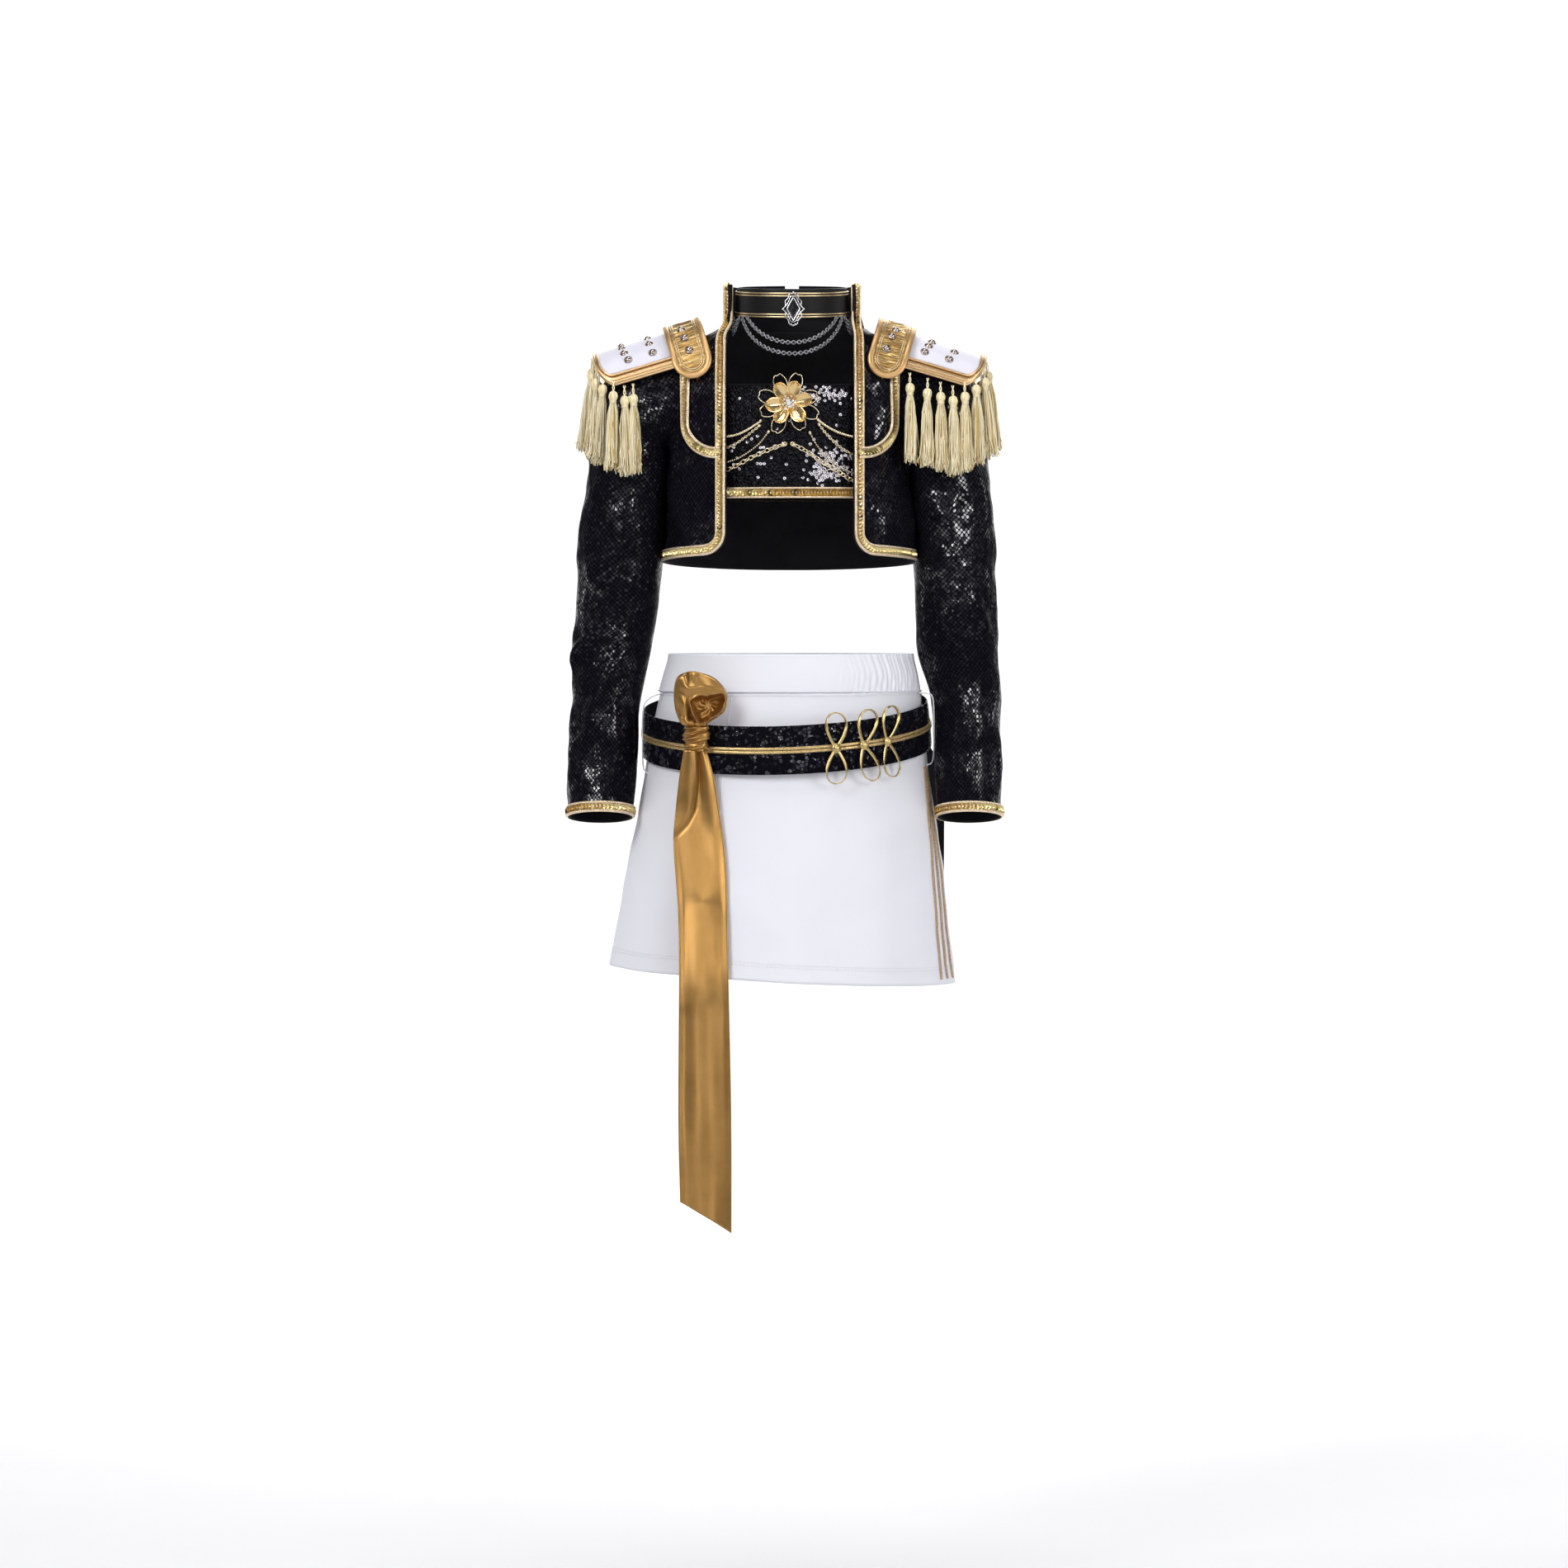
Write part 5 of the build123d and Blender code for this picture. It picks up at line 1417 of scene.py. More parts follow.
def swag(a0, a1, z0, z1, drop, reach, count=90):
    t = np.linspace(0, 1, count)
    at = np.radians(a0 + (a1 - a0) * t)
    low = 4 * t * (1 - t)
    r = 51.2 + reach * low
    p = np.stack([2 + r * np.sin(at), -5 - r * np.cos(at), z0 + (z1 - z0) * t - drop * low], 1)
    return p, np.stack([np.sin(at), -np.cos(at), 0 * at], 1)


# ================================================================================================
# epaulettes and tassels; U runs down the shoulder from the neck and W square off it
# ================================================================================================
DROP = math.radians(16.6)
BOARD_LENGTH, BOARD_HALF, BOARD_CORNER = 100, 44.3, 22
BOARD_Y, BOARD_W, CAP_Y, CAP_W, CAP_LIFT = 45, 41, 53, 52, 5.0
CAP_LOW = -29.5
BOARD_ROUND = 13.0      # the cloth board is squarer at its tip than the line the tassels hang from


def ep(side, u, y, w):
    u, y, w = np.broadcast_arrays(np.asarray(u, float), y, w)
    x = 75.5 + u * math.cos(DROP) + w * math.sin(DROP)
    z = 293.5 - u * math.sin(DROP) + w * math.cos(DROP)
    return np.stack([x * sign_of(side), y, z], -1)


def arch_w(y, y_axis, w_axis, top):
    return top - w_axis + w_axis * np.sqrt(np.maximum(0, 1 - (np.asarray(y, float) / y_axis) ** 2))


def board_path(inset, lift, count=160, low=4.0):
    """Outline of the board from its front inner end round the tip to the back, with its normals, in U, Y and W."""
    half, r = BOARD_HALF - inset, BOARD_ROUND - inset
    end = BOARD_LENGTH - inset
    pts = [(u, -half) for u in np.linspace(low, end - r, 40)]
    pts += [(end - r + r * math.sin(a), -half + r - r * math.cos(a)) for a in np.linspace(0, math.pi / 2, 30)[1:]]
    pts = np.array(pts)
    pts = np.vstack([pts, pts[::-1] * [1, -1]])
    pts = resample(pts, count=count)
    phi = np.arcsin(np.clip(pts[:, 1] / BOARD_Y, -1, 1))
    n = unit(np.stack([0 * phi, np.sin(phi) / BOARD_Y, np.cos(phi) / BOARD_W], 1))
    w = arch_w(pts[:, 1], BOARD_Y, BOARD_W, 0)
    p = np.column_stack([pts, w]) + n * lift
    return p, n


def to_world(side, p, n=None):
    q = ep(side, p[..., 0], p[..., 1], p[..., 2])
    if n is None:
        return q
    m = ep(side, p[..., 0] + n[..., 0], p[..., 1] + n[..., 1], p[..., 2] + n[..., 2]) - q
    return q, unit(m)


BOARD_STUDS = {
    "left": [(51, -19), (49, -27), (47, -34), (72, -25), (69, -34)],
    "right": [(50, -9), (50, -23), (49, -34), (74, -4), (74, -16), (73, -26), (71, -34)],
}
CAP_STUDS = {"left": [(18, -28), (16, -36.5), (14.5, -46)], "right": [(20, -26), (19, -37), (18, -46)]}


def make_epaulette(side):
    # board
    heap = Heap()
    half, r, end = BOARD_HALF - 4.4, BOARD_ROUND - 4.4, BOARD_LENGTH - 4.4
    phi = np.linspace(-math.asin(half / BOARD_Y), math.asin(half / BOARD_Y), 90)[None, :]
    y = BOARD_Y * np.sin(phi)
    far = end - (r - np.sqrt(np.maximum(0, r * r - np.maximum(0, np.abs(y) - (half - r)) ** 2)))
    share = np.linspace(0, 1, 70)[:, None]
    u = 2 + (far - 2) * share
    w = -BOARD_W + BOARD_W * np.cos(phi) + 0 * u
    y2 = y + 0 * u
    swell = 0.9 * soft_step(far - u, 0, 9) * soft_step(half - np.abs(y), 0, 8)
    pts = ep(side, u, y2, w)
    pts = pts + np.array([0, 0, 1.0]) * (swell + 0.25 * waves(pts, 91, 26))[..., None]
    heap.grid(pts, 0, np.stack(np.broadcast_arrays(u, phi * 40), -1))
    obj = heap.build(f"board_{side}", [WHITE_LEATHER, GOLD_LEATHER], "jacket", (f"epaulette_board_{side}",),
        up=True)
    thicken(obj, 2.4)
    # cap
    heap = Heap()
    phi = np.linspace(-math.pi / 2, math.pi / 2, 150)[None, :]
    w = CAP_LIFT - CAP_W + CAP_W * np.cos(phi)
    width = np.where(w < CAP_LOW, np.sqrt(np.maximum(0.0, 17.0 ** 2 - (w - CAP_LOW) ** 2)), 17.0)
    share = np.linspace(-1, 1, 44)[:, None]
    inner = np.maximum(width - 4.6, 0.0)
    u = 18 + inner * share
    crimp = 0.45 * np.sin(phi * 47 + 1.4 * np.sin(share * 2.4 + phi * 3)) + 0.3 * np.sin(phi * 83 + share * 2)
    calm = (1 - np.abs(share) ** 6) * soft_step(inner, 1, 6)
    yy = CAP_Y * np.sin(phi) + 0 * u
    ww = w + 0 * u
    nrm = unit(np.stack(np.broadcast_arrays(0 * u, np.sin(phi) / CAP_Y, np.cos(phi) / CAP_W), -1))
    local = np.stack([u, yy, ww], -1) + nrm * (crimp * calm + 0.2)[..., None]
    heap.grid(to_world(side, local), 0, np.stack(np.broadcast_arrays(u, phi * 50), -1))
    obj = heap.build(f"cap_{side}", [PLEATS, GOLD_LEATHER], "jacket", (f"epaulette_cap_{side}",),
        up=True)
    thicken(obj, 2.0)
    # piping and bindings
    heap = Heap()
    for inset, lift, radius in ((1.0, 0.1, 1.2), (3.6, 0.6, 1.05)):
        p, n = board_path(inset, lift)
        q, m = to_world(side, p, n)
        tube(heap, q, radius, 10, 0, normals=m)
    p, n = board_path(0.6, -1.4)
    q, m = to_world(side, p, n)
    tube(heap, q, 1.35, 10, 0, normals=m)
    p, n = board_path(2.4, -0.8)
    q, m = to_world(side, p, n)
    band(heap, q, m, [(-2.6, -0.6), (-2.2, 0.3), (0, 0.7), (2.2, 0.3), (2.6, -0.6)], 0)
    # binding round the cap
    for inset, lift, wide in ((2.4, 0.5, 2.5),):
        q, m = cap_line(side, inset, lift)
        band(heap, q, m, [(-wide, -1.6), (-wide, 0.2), (-wide * 0.7, 0.8), (0, 1.0), (wide * 0.7, 0.8), (wide, 0.2),
            (wide, -0.4)], 1, closed=True)
    for inset, radius in ((6.4, 0.42), (8.0, 0.42)):
        q, m = cap_line(side, inset, 1.1)
        tube(heap, q, radius, 6, 2, closed=True, normals=m)
    heap.build(f"piping_{side}", [PIPING, GOLD_LEATHER, GOLD_LINE], "jacket", (f"epaulette_piping_{side}",))
    # studs: a dome in a flared foot
    heap = Heap()
    places, frames = [], []
    for spots, y_axis, w_axis, top, up in ((BOARD_STUDS, BOARD_Y, BOARD_W, 0, 0.7),
        (CAP_STUDS, CAP_Y, CAP_W, CAP_LIFT, 0.4)):
        for u, y in spots[side]:
            w = float(arch_w(y, y_axis, w_axis, top))
            n = unit(np.array([0, y / y_axis ** 2, (w - top + w_axis) / w_axis ** 2]))
            q, m = to_world(side, np.array([u, y, w]) + n * up, n)
            t = unit(np.cross(np.array([0, 1.0, 0]), m))
            places.append(q)
            frames.append(np.stack([t, np.cross(m, t), m]))
    heap.copies(*ball_shape(3.1, 7, 18, 0.85, dome=True), np.array(places), np.array(frames), 0)
    heap.copies(*ring_shape(3.75, 2.9, 18, 0.75), np.array(places), np.array(frames), 0)
    heap.build(f"studs_{side}", [STUD], "jacket", (f"epaulette_studs_{side}",))


def cap_line(side, inset, lift):
    """Closed line round the cap, that far in from its outline."""
    r = 17.0 - inset
    front = [(18 + r * math.sin(a), CAP_LOW - r * math.cos(a)) for a in np.linspace(-math.pi / 2, math.pi / 2, 40)]
    pts = [(u, w, -1) for u, w in front]
    climb = np.linspace(CAP_LOW, CAP_LIFT - 0.02, 60)[1:]
    pts += [(18 + r, w, -1) for w in climb] + [(18 + r, w, 1) for w in climb[::-1]]
    pts += [(u, w, 1) for u, w in front[::-1]]
    pts += [(18 - r, w, 1) for w in climb] + [(18 - r, w, -1) for w in climb[::-1]]
    out, nrm = [], []
    for u, w, sy in pts:
        c = (w - CAP_LIFT + CAP_W) / CAP_W
        c = min(1.0, max(-1.0, c))
        sn = math.sqrt(1 - c * c) * sy
        out.append((u, CAP_Y * sn, CAP_LIFT - CAP_W + CAP_W * c))
        nrm.append((0, sn / CAP_Y, c / CAP_W))
    out, nrm = np.array(out), unit(np.array(nrm))
    seg = np.linalg.norm(np.diff(np.vstack([out, out[:1]]), axis=0), axis=1)
    keep = seg > 0.05
    out, nrm = out[keep], nrm[keep]
    both = resample(np.hstack([out, nrm * 0.001]), count=300, closed=True)
    return to_world(side, both[:, :3] + unit(both[:, 3:]) * lift, unit(both[:, 3:]))


EDGE_START = 30
EDGE_STRAIGHT = BOARD_LENGTH - BOARD_CORNER - EDGE_START
EDGE_ARC = math.pi * BOARD_CORNER / 2
EDGE_TIP = 2 * (BOARD_HALF - BOARD_CORNER)
EDGE_TOTAL = 2 * EDGE_STRAIGHT + 2 * EDGE_ARC + EDGE_TIP
TASSEL_STOPS = {"left": [10, 26, 37.5, 48.5, 57, 65.5, 75, 87], "right": [43, 50.5, 58, 66, 74, 81.5, 89, 97]}


def board_edge(d):
    half, r = BOARD_HALF, BOARD_CORNER
    if d > EDGE_TOTAL / 2:
        u, y, out_u, out_y = board_edge(EDGE_TOTAL - d)
        return u, -y, out_u, -out_y
    if d < EDGE_STRAIGHT:
        return EDGE_START + d, -half, 0.0, -1.0
    d -= EDGE_STRAIGHT
    if d < EDGE_ARC:
        t = d / r
        return BOARD_LENGTH - r + r * math.sin(t), -half + r - r * math.cos(t), math.sin(t), -math.cos(t)
    return BOARD_LENGTH, -half + r + d - EDGE_ARC, 1.0, 0.0


def add_tassel(heap, side, d, rng, threads=84):
    u, y, ou, oy = board_edge(d)
    w = float(arch_w(min(abs(y), BOARD_HALF), BOARD_Y, BOARD_W, 0))
    top = ep("left", u + 1.6 * ou, y + 3.4 * oy, max(w, -34) - 2.6)
    out = np.array([ou, oy, 0.0])
    lean = math.radians(3.0 + 4.5 * abs(oy) * (1 - ou))
    down = -np.array([0, 0, 1.0]) * math.cos(lean) + out * math.sin(lean)
    down = unit(down + np.array([*rng.normal(0, 0.028, 2), 0.0]))
    top = top + down * 3.0
    flip = np.array([sign_of(side), 1, 1])
    across = unit(np.cross(down, [0, 1.0, 0] if abs(down[1]) < 0.8 else [1.0, 0, 0]))
    deep = np.cross(down, across)

    def at(h, x=0.0, z=0.0):
        return (top + down * h + across * x + deep * z) * flip

    # doubled cord, a small bound head and a tied neck
    for side_x in (-0.55, 0.55):
        tube(heap, np.array([at(h, side_x * math.sin(math.pi * min(1, h / 6 + 0.15)) * 1.4) for h in np.linspace(-4.0,
            6, 9)]), 0.5, 6, 0, caps=False)
    spin = np.linspace(0, TAU, 16, endpoint=False)
    rings = [(5.0, 0.9), (5.6, 2.0), (6.6, 2.9), (8.4, 3.4), (10.4, 3.45), (12.2, 3.0), (13.2, 2.5), (13.9, 2.35),
        (14.5, 2.7), (15.3, 2.7), (16.0, 2.5)]
    wob = rng.uniform(0, TAU)
    grid = np.array([[at(h, r * (1 + 0.07 * math.sin(5 * a + wob)) * math.cos(a),
        r * (1 + 0.07 * math.sin(5 * a + wob)) * math.sin(a)) for a in spin] for h, r in rings])
    heap.grid(grid, 0, wrap_v=True)
    for h in (13.6, 14.3, 15.0):
        tube(heap, np.array([at(h, 2.75 * math.cos(a), 2.75 * math.sin(a)) for a in spin]), 0.42, 5, 0, closed=True)
    # loops of thread over the head
    for k in range(9):
        a = TAU * k / 9 + wob
        line = np.array([at(h, r * math.cos(a + 0.05 * h), r * math.sin(a + 0.05 * h)) for h,
            r in ((5.2, 1.2), (6.6, 3.0), (8.6, 3.65), (10.8, 3.6), (13.0, 2.7))])
        tube(heap, line, 0.36, 4, 0, caps=False)
    # core, in the painted-shade thread colour, and threads, each picked at random from the plain, painted-shade and
    # painted-highlight colours
    bend = rng.normal(0, 1.7, 2)
    core = [(16, 2.0), (22, 3.1), (34, 4.0), (52, 4.3), (66, 4.2), (69, 0.4)]
    heap.grid(np.array([[at(h, r * math.cos(a) + bend[0] * (h / 74) ** 2,
        r * math.sin(a) + bend[1] * (h / 74) ** 2) for a in spin] for h, r in core]), 1, wrap_v=True)
    hs = np.array([15.0, 19, 26, 36, 48, 60, 70, 74])
    q = rng.uniform(0, 1, (threads, 4))
    ang = TAU * q[:, 0]
    rad = np.sqrt(0.35 + 0.65 * q[:, 1])
    stray = np.where(q[:, 2] > 0.93, 1.9, 1.0)
    length = 74 - 8.0 * q[:, 3] ** 2 + rng.normal(0, 1.0, threads)
    body = np.interp(hs, (15, 19, 26, 40, 60, 74), (2.3, 3.0, 4.3, 5.1, 5.5, 5.9))
    for k in range(threads):
        hk = hs * (length[k] / 74)
        hk[0] = 15
        wig = rng.normal(0, 0.5, (len(hs), 2)) * np.linspace(0, 1, len(hs))[:, None] * stray[k]
        spread = body * rad[k] * (1 + (stray[k] - 1) * (hs / 74) ** 3 * 0.5)
        swirl = ang[k] + 0.25 * (hs / 74)
        x = spread * np.cos(swirl) + wig[:, 0] + bend[0] * (hk / 74) ** 2
        z = spread * np.sin(swirl) + wig[:, 1] + bend[1] * (hk / 74) ** 2
        line = (top + down * hk[:, None] + across * x[:, None] + deep * z[:, None]) * flip
        tube(heap, line, 0.46, 3, int(rng.choice(3, p=(0.46, 0.20, 0.34))), caps=False)


def make_tassels():
    for side in SIDES:
        half = TASSEL_STOPS[side]
        stops = half + [EDGE_TOTAL - d for d in reversed(half)]
        for g, name in enumerate(("front", "outer_front", "outer_back", "back")):
            heap = Heap()
            rng = np.random.default_rng(100 + g + (10 if side == "left" else 0))
            for d in stops[4 * g:4 * g + 4]:
                add_tassel(heap, side, d, rng)
            heap.build(f"fringe_{name}_{side}", [TASSEL, TASSEL_PAINTED_SHADE, TASSEL_PAINTED_HIGHLIGHT], f"tassels_{name}_{side}",
                (f"tassels_{name}_{side}",))


# ================================================================================================
# skirt details
# ================================================================================================
def skirt_point(theta, z, off=0.0):
    """The skirt's own surface with its folds, the same as the cloth mesh."""
    theta, z = np.broadcast_arrays(np.asarray(theta, float), np.asarray(z, float))
    hem = skirt_hem(146 * np.sin(theta) - 6, -113 * np.cos(theta))
    v = np.clip((z + 27) / (hem + 27), 0, 1)
    p = oval_point(SKIRT, theta, z, 0.0)
    out = np.stack([np.sin(theta), -np.cos(theta), 0 * theta], -1)
    return p + out * (skirt_folds(theta, p, v) + off)[..., None]


def stitches(heap, path, normals, step=3.0, length=2.1, radius=0.28, mat=0):
    q = resample(path, step=step)
    idx = np.linspace(0, len(path) - 1, len(q)).round().astype(int)
    t, s, n = frames_along(q, np.asarray(normals)[idx])
    a = np.linspace(0, TAU, 6, endpoint=False)
    rows = []
    for x, r in ((-length / 2, 0.3), (-length * 0.35, 1.0), (length * 0.35, 1.0), (length / 2, 0.3)):
        rows.append(np.stack([np.full(6, x), radius * r * np.cos(a), radius * r * np.sin(a)], 1))
    one = Heap()
    one.grid(np.array(rows), 0, wrap_v=True)
    heap.copies(one.verts[0], one.faces[0], q, np.stack([t, s, n], 1), mat)


def radial(theta):
    return np.stack([np.sin(theta), -np.cos(theta), 0 * theta], -1)


def make_skirt_details():
    heap = Heap()
    # three stripes of gold braid down the wearer's left side
    for top_y, low_y in ((-24.7, -42.2), (-20.7, -30.2), (-16.7, -18.2)):
        z = np.linspace(-92, -276.0, 90)
        y = np.interp(z, (-300, -90), (low_y, top_y))
        b = table(SKIRT, 2, z)
        theta = np.arccos(np.clip(-y / b, -1, 1))
        p = skirt_point(theta, z, 0.35)
        hem = skirt_hem(p[:, 0], p[:, 1])
        ok = p[:, 2] > hem + 0.2
        p, theta = p[ok], theta[ok]
        half = 1.35
        band(heap, p, radial(theta),
            [(-half, -0.3), (-half, 0.35), (-half * 0.5, 0.6), (half * 0.5, 0.6), (half, 0.35), (half, -0.3)], 0)
        for dx in (-half * 0.8, half * 0.8):
            _, s, n = frames_along(p, radial(theta))
            rope(heap, p + s * dx + n * 0.55, 0.6, 2, 2.2, 0, 5, normals=n)
    heap.build("side_stripes", [GOLD_STRIPE], "skirt", ("skirt_stripes",))
    # thread loops that carry the belt
    heap = Heap()
    for stops in ([(112.4, -28), (119, -28.6), (124.2, -33), (125.4, -60), (124.2, -86), (119, -91)],
        [(-110.4, -28), (-122, -33), (-127.2, -42), (-128.0, -66), (-127.2, -92), (-122.8, -98.6)]):
        path = smooth_path(np.array([(x, -22, z) for x, z in stops], float), 60)
        tube(heap, path, 0.62, 8, 0)
    heap.build("carrier_loops", [WHITE_THREAD], "skirt", ("belt_loops",))
    # seams and stitching that belong to the skirt's cloth
    heap = Heap()
    theta = np.linspace(0, TAU, 361)
    p = oval_point(WAIST, theta, np.full_like(theta, -26.2), 1.1)
    tube(heap, p, 0.5, 6, 0, caps=False)
    p = oval_point(SKIRT, theta, np.full_like(theta, -29.5), 0.7)
    stitches(heap, p, radial(theta), 3.2, 2.3, 0.26, 1)
    for dz in (13.0, 15.5):
        base = oval_point(SKIRT, theta, np.full_like(theta, -270.0))
        z = skirt_hem(base[:, 0], base[:, 1]) + dz
        p = skirt_point(theta, z, 0.25)
        stitches(heap, p, radial(theta), 3.4, 2.4, 0.26, 1)
    for angle in (-0.46, 1.36, -1.75, 2.6):
        z = np.linspace(-28, -262, 120)
        p = skirt_point(np.full_like(z, angle), z, 0.05)
        tube(heap, p, 0.45, 6, 0, caps=False, normals=radial(np.full_like(z, angle)), flat=0.6)
    heap.build("skirt_seams", [WHITE, WHITE_THREAD], "skirt", ())


# ================================================================================================
# frogs, bow and tails
# ================================================================================================
def belt_front_yz(x, dz=0.0, off=0.0):
    b = 97.5 - 3.75 * dz / (BELT_H / 2)
    a = 125.2 - 1.2 * dz / (BELT_H / 2)
    y = -(b + off) * math.sqrt(1 - ((x + 3) / (a + off)) ** 2) * math.cos(BELT_PITCH) - 3
    z = BELT_Z + dz + (y + 3) * math.tan(BELT_PITCH) + (x + 3) * math.tan(-BELT_ROLL)
    return y, z


def make_frogs():
    heap = Heap()
    shapes = ((40, (0.02, 0.0)), (64, (-0.16, 0.30)), (84.5, (-0.16, 0.22)))
    for x, (lean_up, lean_down) in shapes:
        y, z = belt_front_yz(x, 0, 5.0)
        turn = math.asin((x + 3) / 127)
        side = np.array([math.cos(turn), math.sin(turn), 0])
        out = np.array([math.sin(turn), -math.cos(turn), 0])
        centre = np.array([x, y, z])
        for way, lean in ((1, lean_up), (-1, lean_down)):
            t = np.linspace(-1, 1, 81)
            # teardrop: straight legs from the ball that open into a round end
            ang = t * math.pi
            height = 30.4 * (0.5 + 0.5 * np.cos(ang)) ** 0.85
            wide = 8.7 * np.sin(ang) * (0.5 + 0.5 * np.cos(ang)) ** 0.35 * 1.28
            height = np.where(np.abs(t) > 0.999, 0.4, height)
            across = wide + lean * height * way * -1
            lift = -1.0 + 2.2 * np.sin(np.clip(height / 31, 0, 1) * math.pi) * 0.6
            p = centre + side * across[:, None] + np.array([0, 0, way]) * height[:, None] + out * lift[:, None]
            # the strip lies flat beside the ball and stands on edge at the round end
            edge = soft_step(height, 12, 26)
            tang = tangents(p)
            lying = unit(out - tang * (tang @ out)[:, None])
            standing = np.cross(tang, lying)
            nrm = unit(lying * (1 - edge * 0.85)[:, None] + standing * (edge * 0.98 * np.sign(t + 1e-9))[:, None])
            band(heap, p, nrm, [(-1.4, 0), (-1.2, 0.42), (0, 0.52), (1.2, 0.42), (1.4, 0), (1.2, -0.42), (0, -0.52),
                (-1.2, -0.42), (-1.4, 0)], 0)
        frame = np.stack([side, np.cross(out, side), out])
        heap.copies(*ball_shape(3.2, 9, 18, 0.8), np.array([centre + out * 0.6]), frame[None], 0)
        heap.copies(*ring_shape(4.2, 2.2, 18, 0.9), np.array([centre + out * 0.0]), frame[None], 0)
    heap.build("frogs", [FROG_GILT], "skirt", ("belt_frogs",))


BOW_X = -80.0
KNOT_Y, KNOT_Z = belt_front_yz(BOW_X, 0, 1.2)
KNOT_Z += 9.7       # the knot is tied over the upper edge of the belt


def make_bow():
    # puffed loop, open towards its lower right
    cx, cy, cz = BOW_X + 4, KNOT_Y - 15.0, KNOT_Z + 11.5 + 22.6
    heap = Heap()
    phi = np.linspace(0, TAU, 120, endpoint=False)
    ox, oz = 6.0, -6.5

    def reach(outline):
        poly = np.array(outline, float) - [ox, oz]
        ang = np.unwrap(np.arctan2(poly[:, 1], poly[:, 0]))
        rad = np.hypot(poly[:, 0], poly[:, 1])
        order = np.argsort(ang % TAU)
        a, r = (ang % TAU)[order], rad[order]
        a = np.concatenate([a - TAU, a, a + TAU])
        r = np.concatenate([r, r, r])
        out = np.interp(phi, a, r)
        for _ in range(3):
            out = (np.roll(out, 1) + 2 * out + np.roll(out, -1)) / 4
        return out

    silhouette = reach([
        (-22.2, 11.4), (-20, 18.6), (-14.4, 21.3), (-8, 22.9), (1.6, 20.6), (11.2, 17), (16.8, 12.2), (20.8, 7),
        (22.4, 1.8), (21.9, -3.8),
        (20, -11), (15.2, -15), (9.6, -18.7), (5.6, -21.4), (4.8, -23.2), (-6, -23.6), (-16, -23.2), (-18.4, -18.2),
        (-20.3, -14.2), (-22.1, -6.2), (-22.6, 3.4),
    ])
    opening = reach([
        (-9.8, -1.8), (-5.6, 1), (4.8, 2.1), (12.8, 3), (19.3, 4.4), (20.8, 0.2), (20, -6.2), (16.6, -12), (9, -17.2),
        (2.4, -21.6), (-1.8, -22),
        (-5.6, -15.8), (-8.3, -8.6),
    ])
    band_w = np.clip((silhouette - opening) / 12, 0.15, 1)
    stops = [
        (0.80 * silhouette, 8.0 + 0 * phi), (0.97 * silhouette, 5.5 + 0 * phi), (silhouette, 0.0 + 0 * phi),
        (silhouette * 0.965, -5.0 * band_w), (silhouette * 0.6 + opening * 0.4, -8.6 * band_w - 1.0),
        (silhouette * 0.28 + opening * 0.72, -10.0 * band_w - 1.2), (opening * 1.0, -8.2 * band_w - 1.0),
        (opening * 0.97, -3.5 + 0 * phi), (opening * 0.88, 3.0 + 0 * phi), (opening * 0.6, 8.0 + 0 * phi),
        (opening * 0.25, 9.0 + 0 * phi), (opening * 0.02, 9.0 + 0 * phi),
    ]
    radii = smooth_path(np.array([r for r, _ in stops]), 66)
    depth = smooth_path(np.array([d for _, d in stops]), 66)
    x = ox + radii * np.cos(phi)
    z = oz + radii * np.sin(phi)
    # the band is folded sharp: a top face, a face under it and a face on the left
    ridge = np.interp(x, (-22, -11.2, -2, 8, 21), (17.5, 8.6, 9.6, 9.4, 6.4))
    planes = np.maximum(np.maximum(0.62 * (z - ridge), 0.55 * (ridge - z)),
        0.5 * np.maximum(0.0, -(x + 11.5)) + 0.04 * (ridge - z))
    left_face = soft_step(-x, 8.5, 14.5)
    facets = -11.0 + planes * (1 - left_face) + (0.42 * np.maximum(0.0,
        -(x + 11.0)) + 0.10 * np.abs(z - ridge)) * left_face
    row = np.arange(len(radii))[:, None]
    in_front = soft_step(row, 13, 20) * soft_step(-row, -38, -33) * soft_step(z, -23, -14)
    depth = depth * (1 - in_front) + facets * in_front
    # gathers run out of the knot, and a crease follows the top of the band
    gather = np.exp(-((z + 24) / 9.0) ** 2)
    ripple = 1.1 * np.sin(x * 1.25 + 0.6) * gather
    crease = -0.5 * np.exp(-((z - (9.5 - 0.20 * (x + 18))) / 2.4) ** 2) * (depth < -3) * soft_step(x, -24, -12)
    crease += 0.3 * np.exp(-((z - (4.5 - 0.12 * (x + 18))) / 2.8) ** 2) * (depth < -3) * soft_step(x, -20, -8)
    fold = -1.3 * np.exp(-((x + 15.5 + 0.30 * z) / 2.6) ** 2) * (depth < -3) * soft_step(-z, -6, 6)
    inner = np.arange(len(radii))[:, None] > len(radii) * 0.6
    wrinkle = np.where(inner, 0.9 * np.sin(phi * 5 + radii * 0.35) * soft_step(radii, 1, 6), 0.0)
    y = depth + ripple + crease + fold + wrinkle + 0.35 * np.sin(x * 0.4 + z * 0.3)
    pts = np.stack([cx + x, cy + y, cz + z], -1)
    heap.grid(pts, 0, np.stack(np.broadcast_arrays(phi * 22, radii), -1), wrap_v=True)
    obj = heap.build("satin_loop", [SATIN], "skirt", ("bow_loop",))
    thicken(obj, 0.8, 0, 0.0)
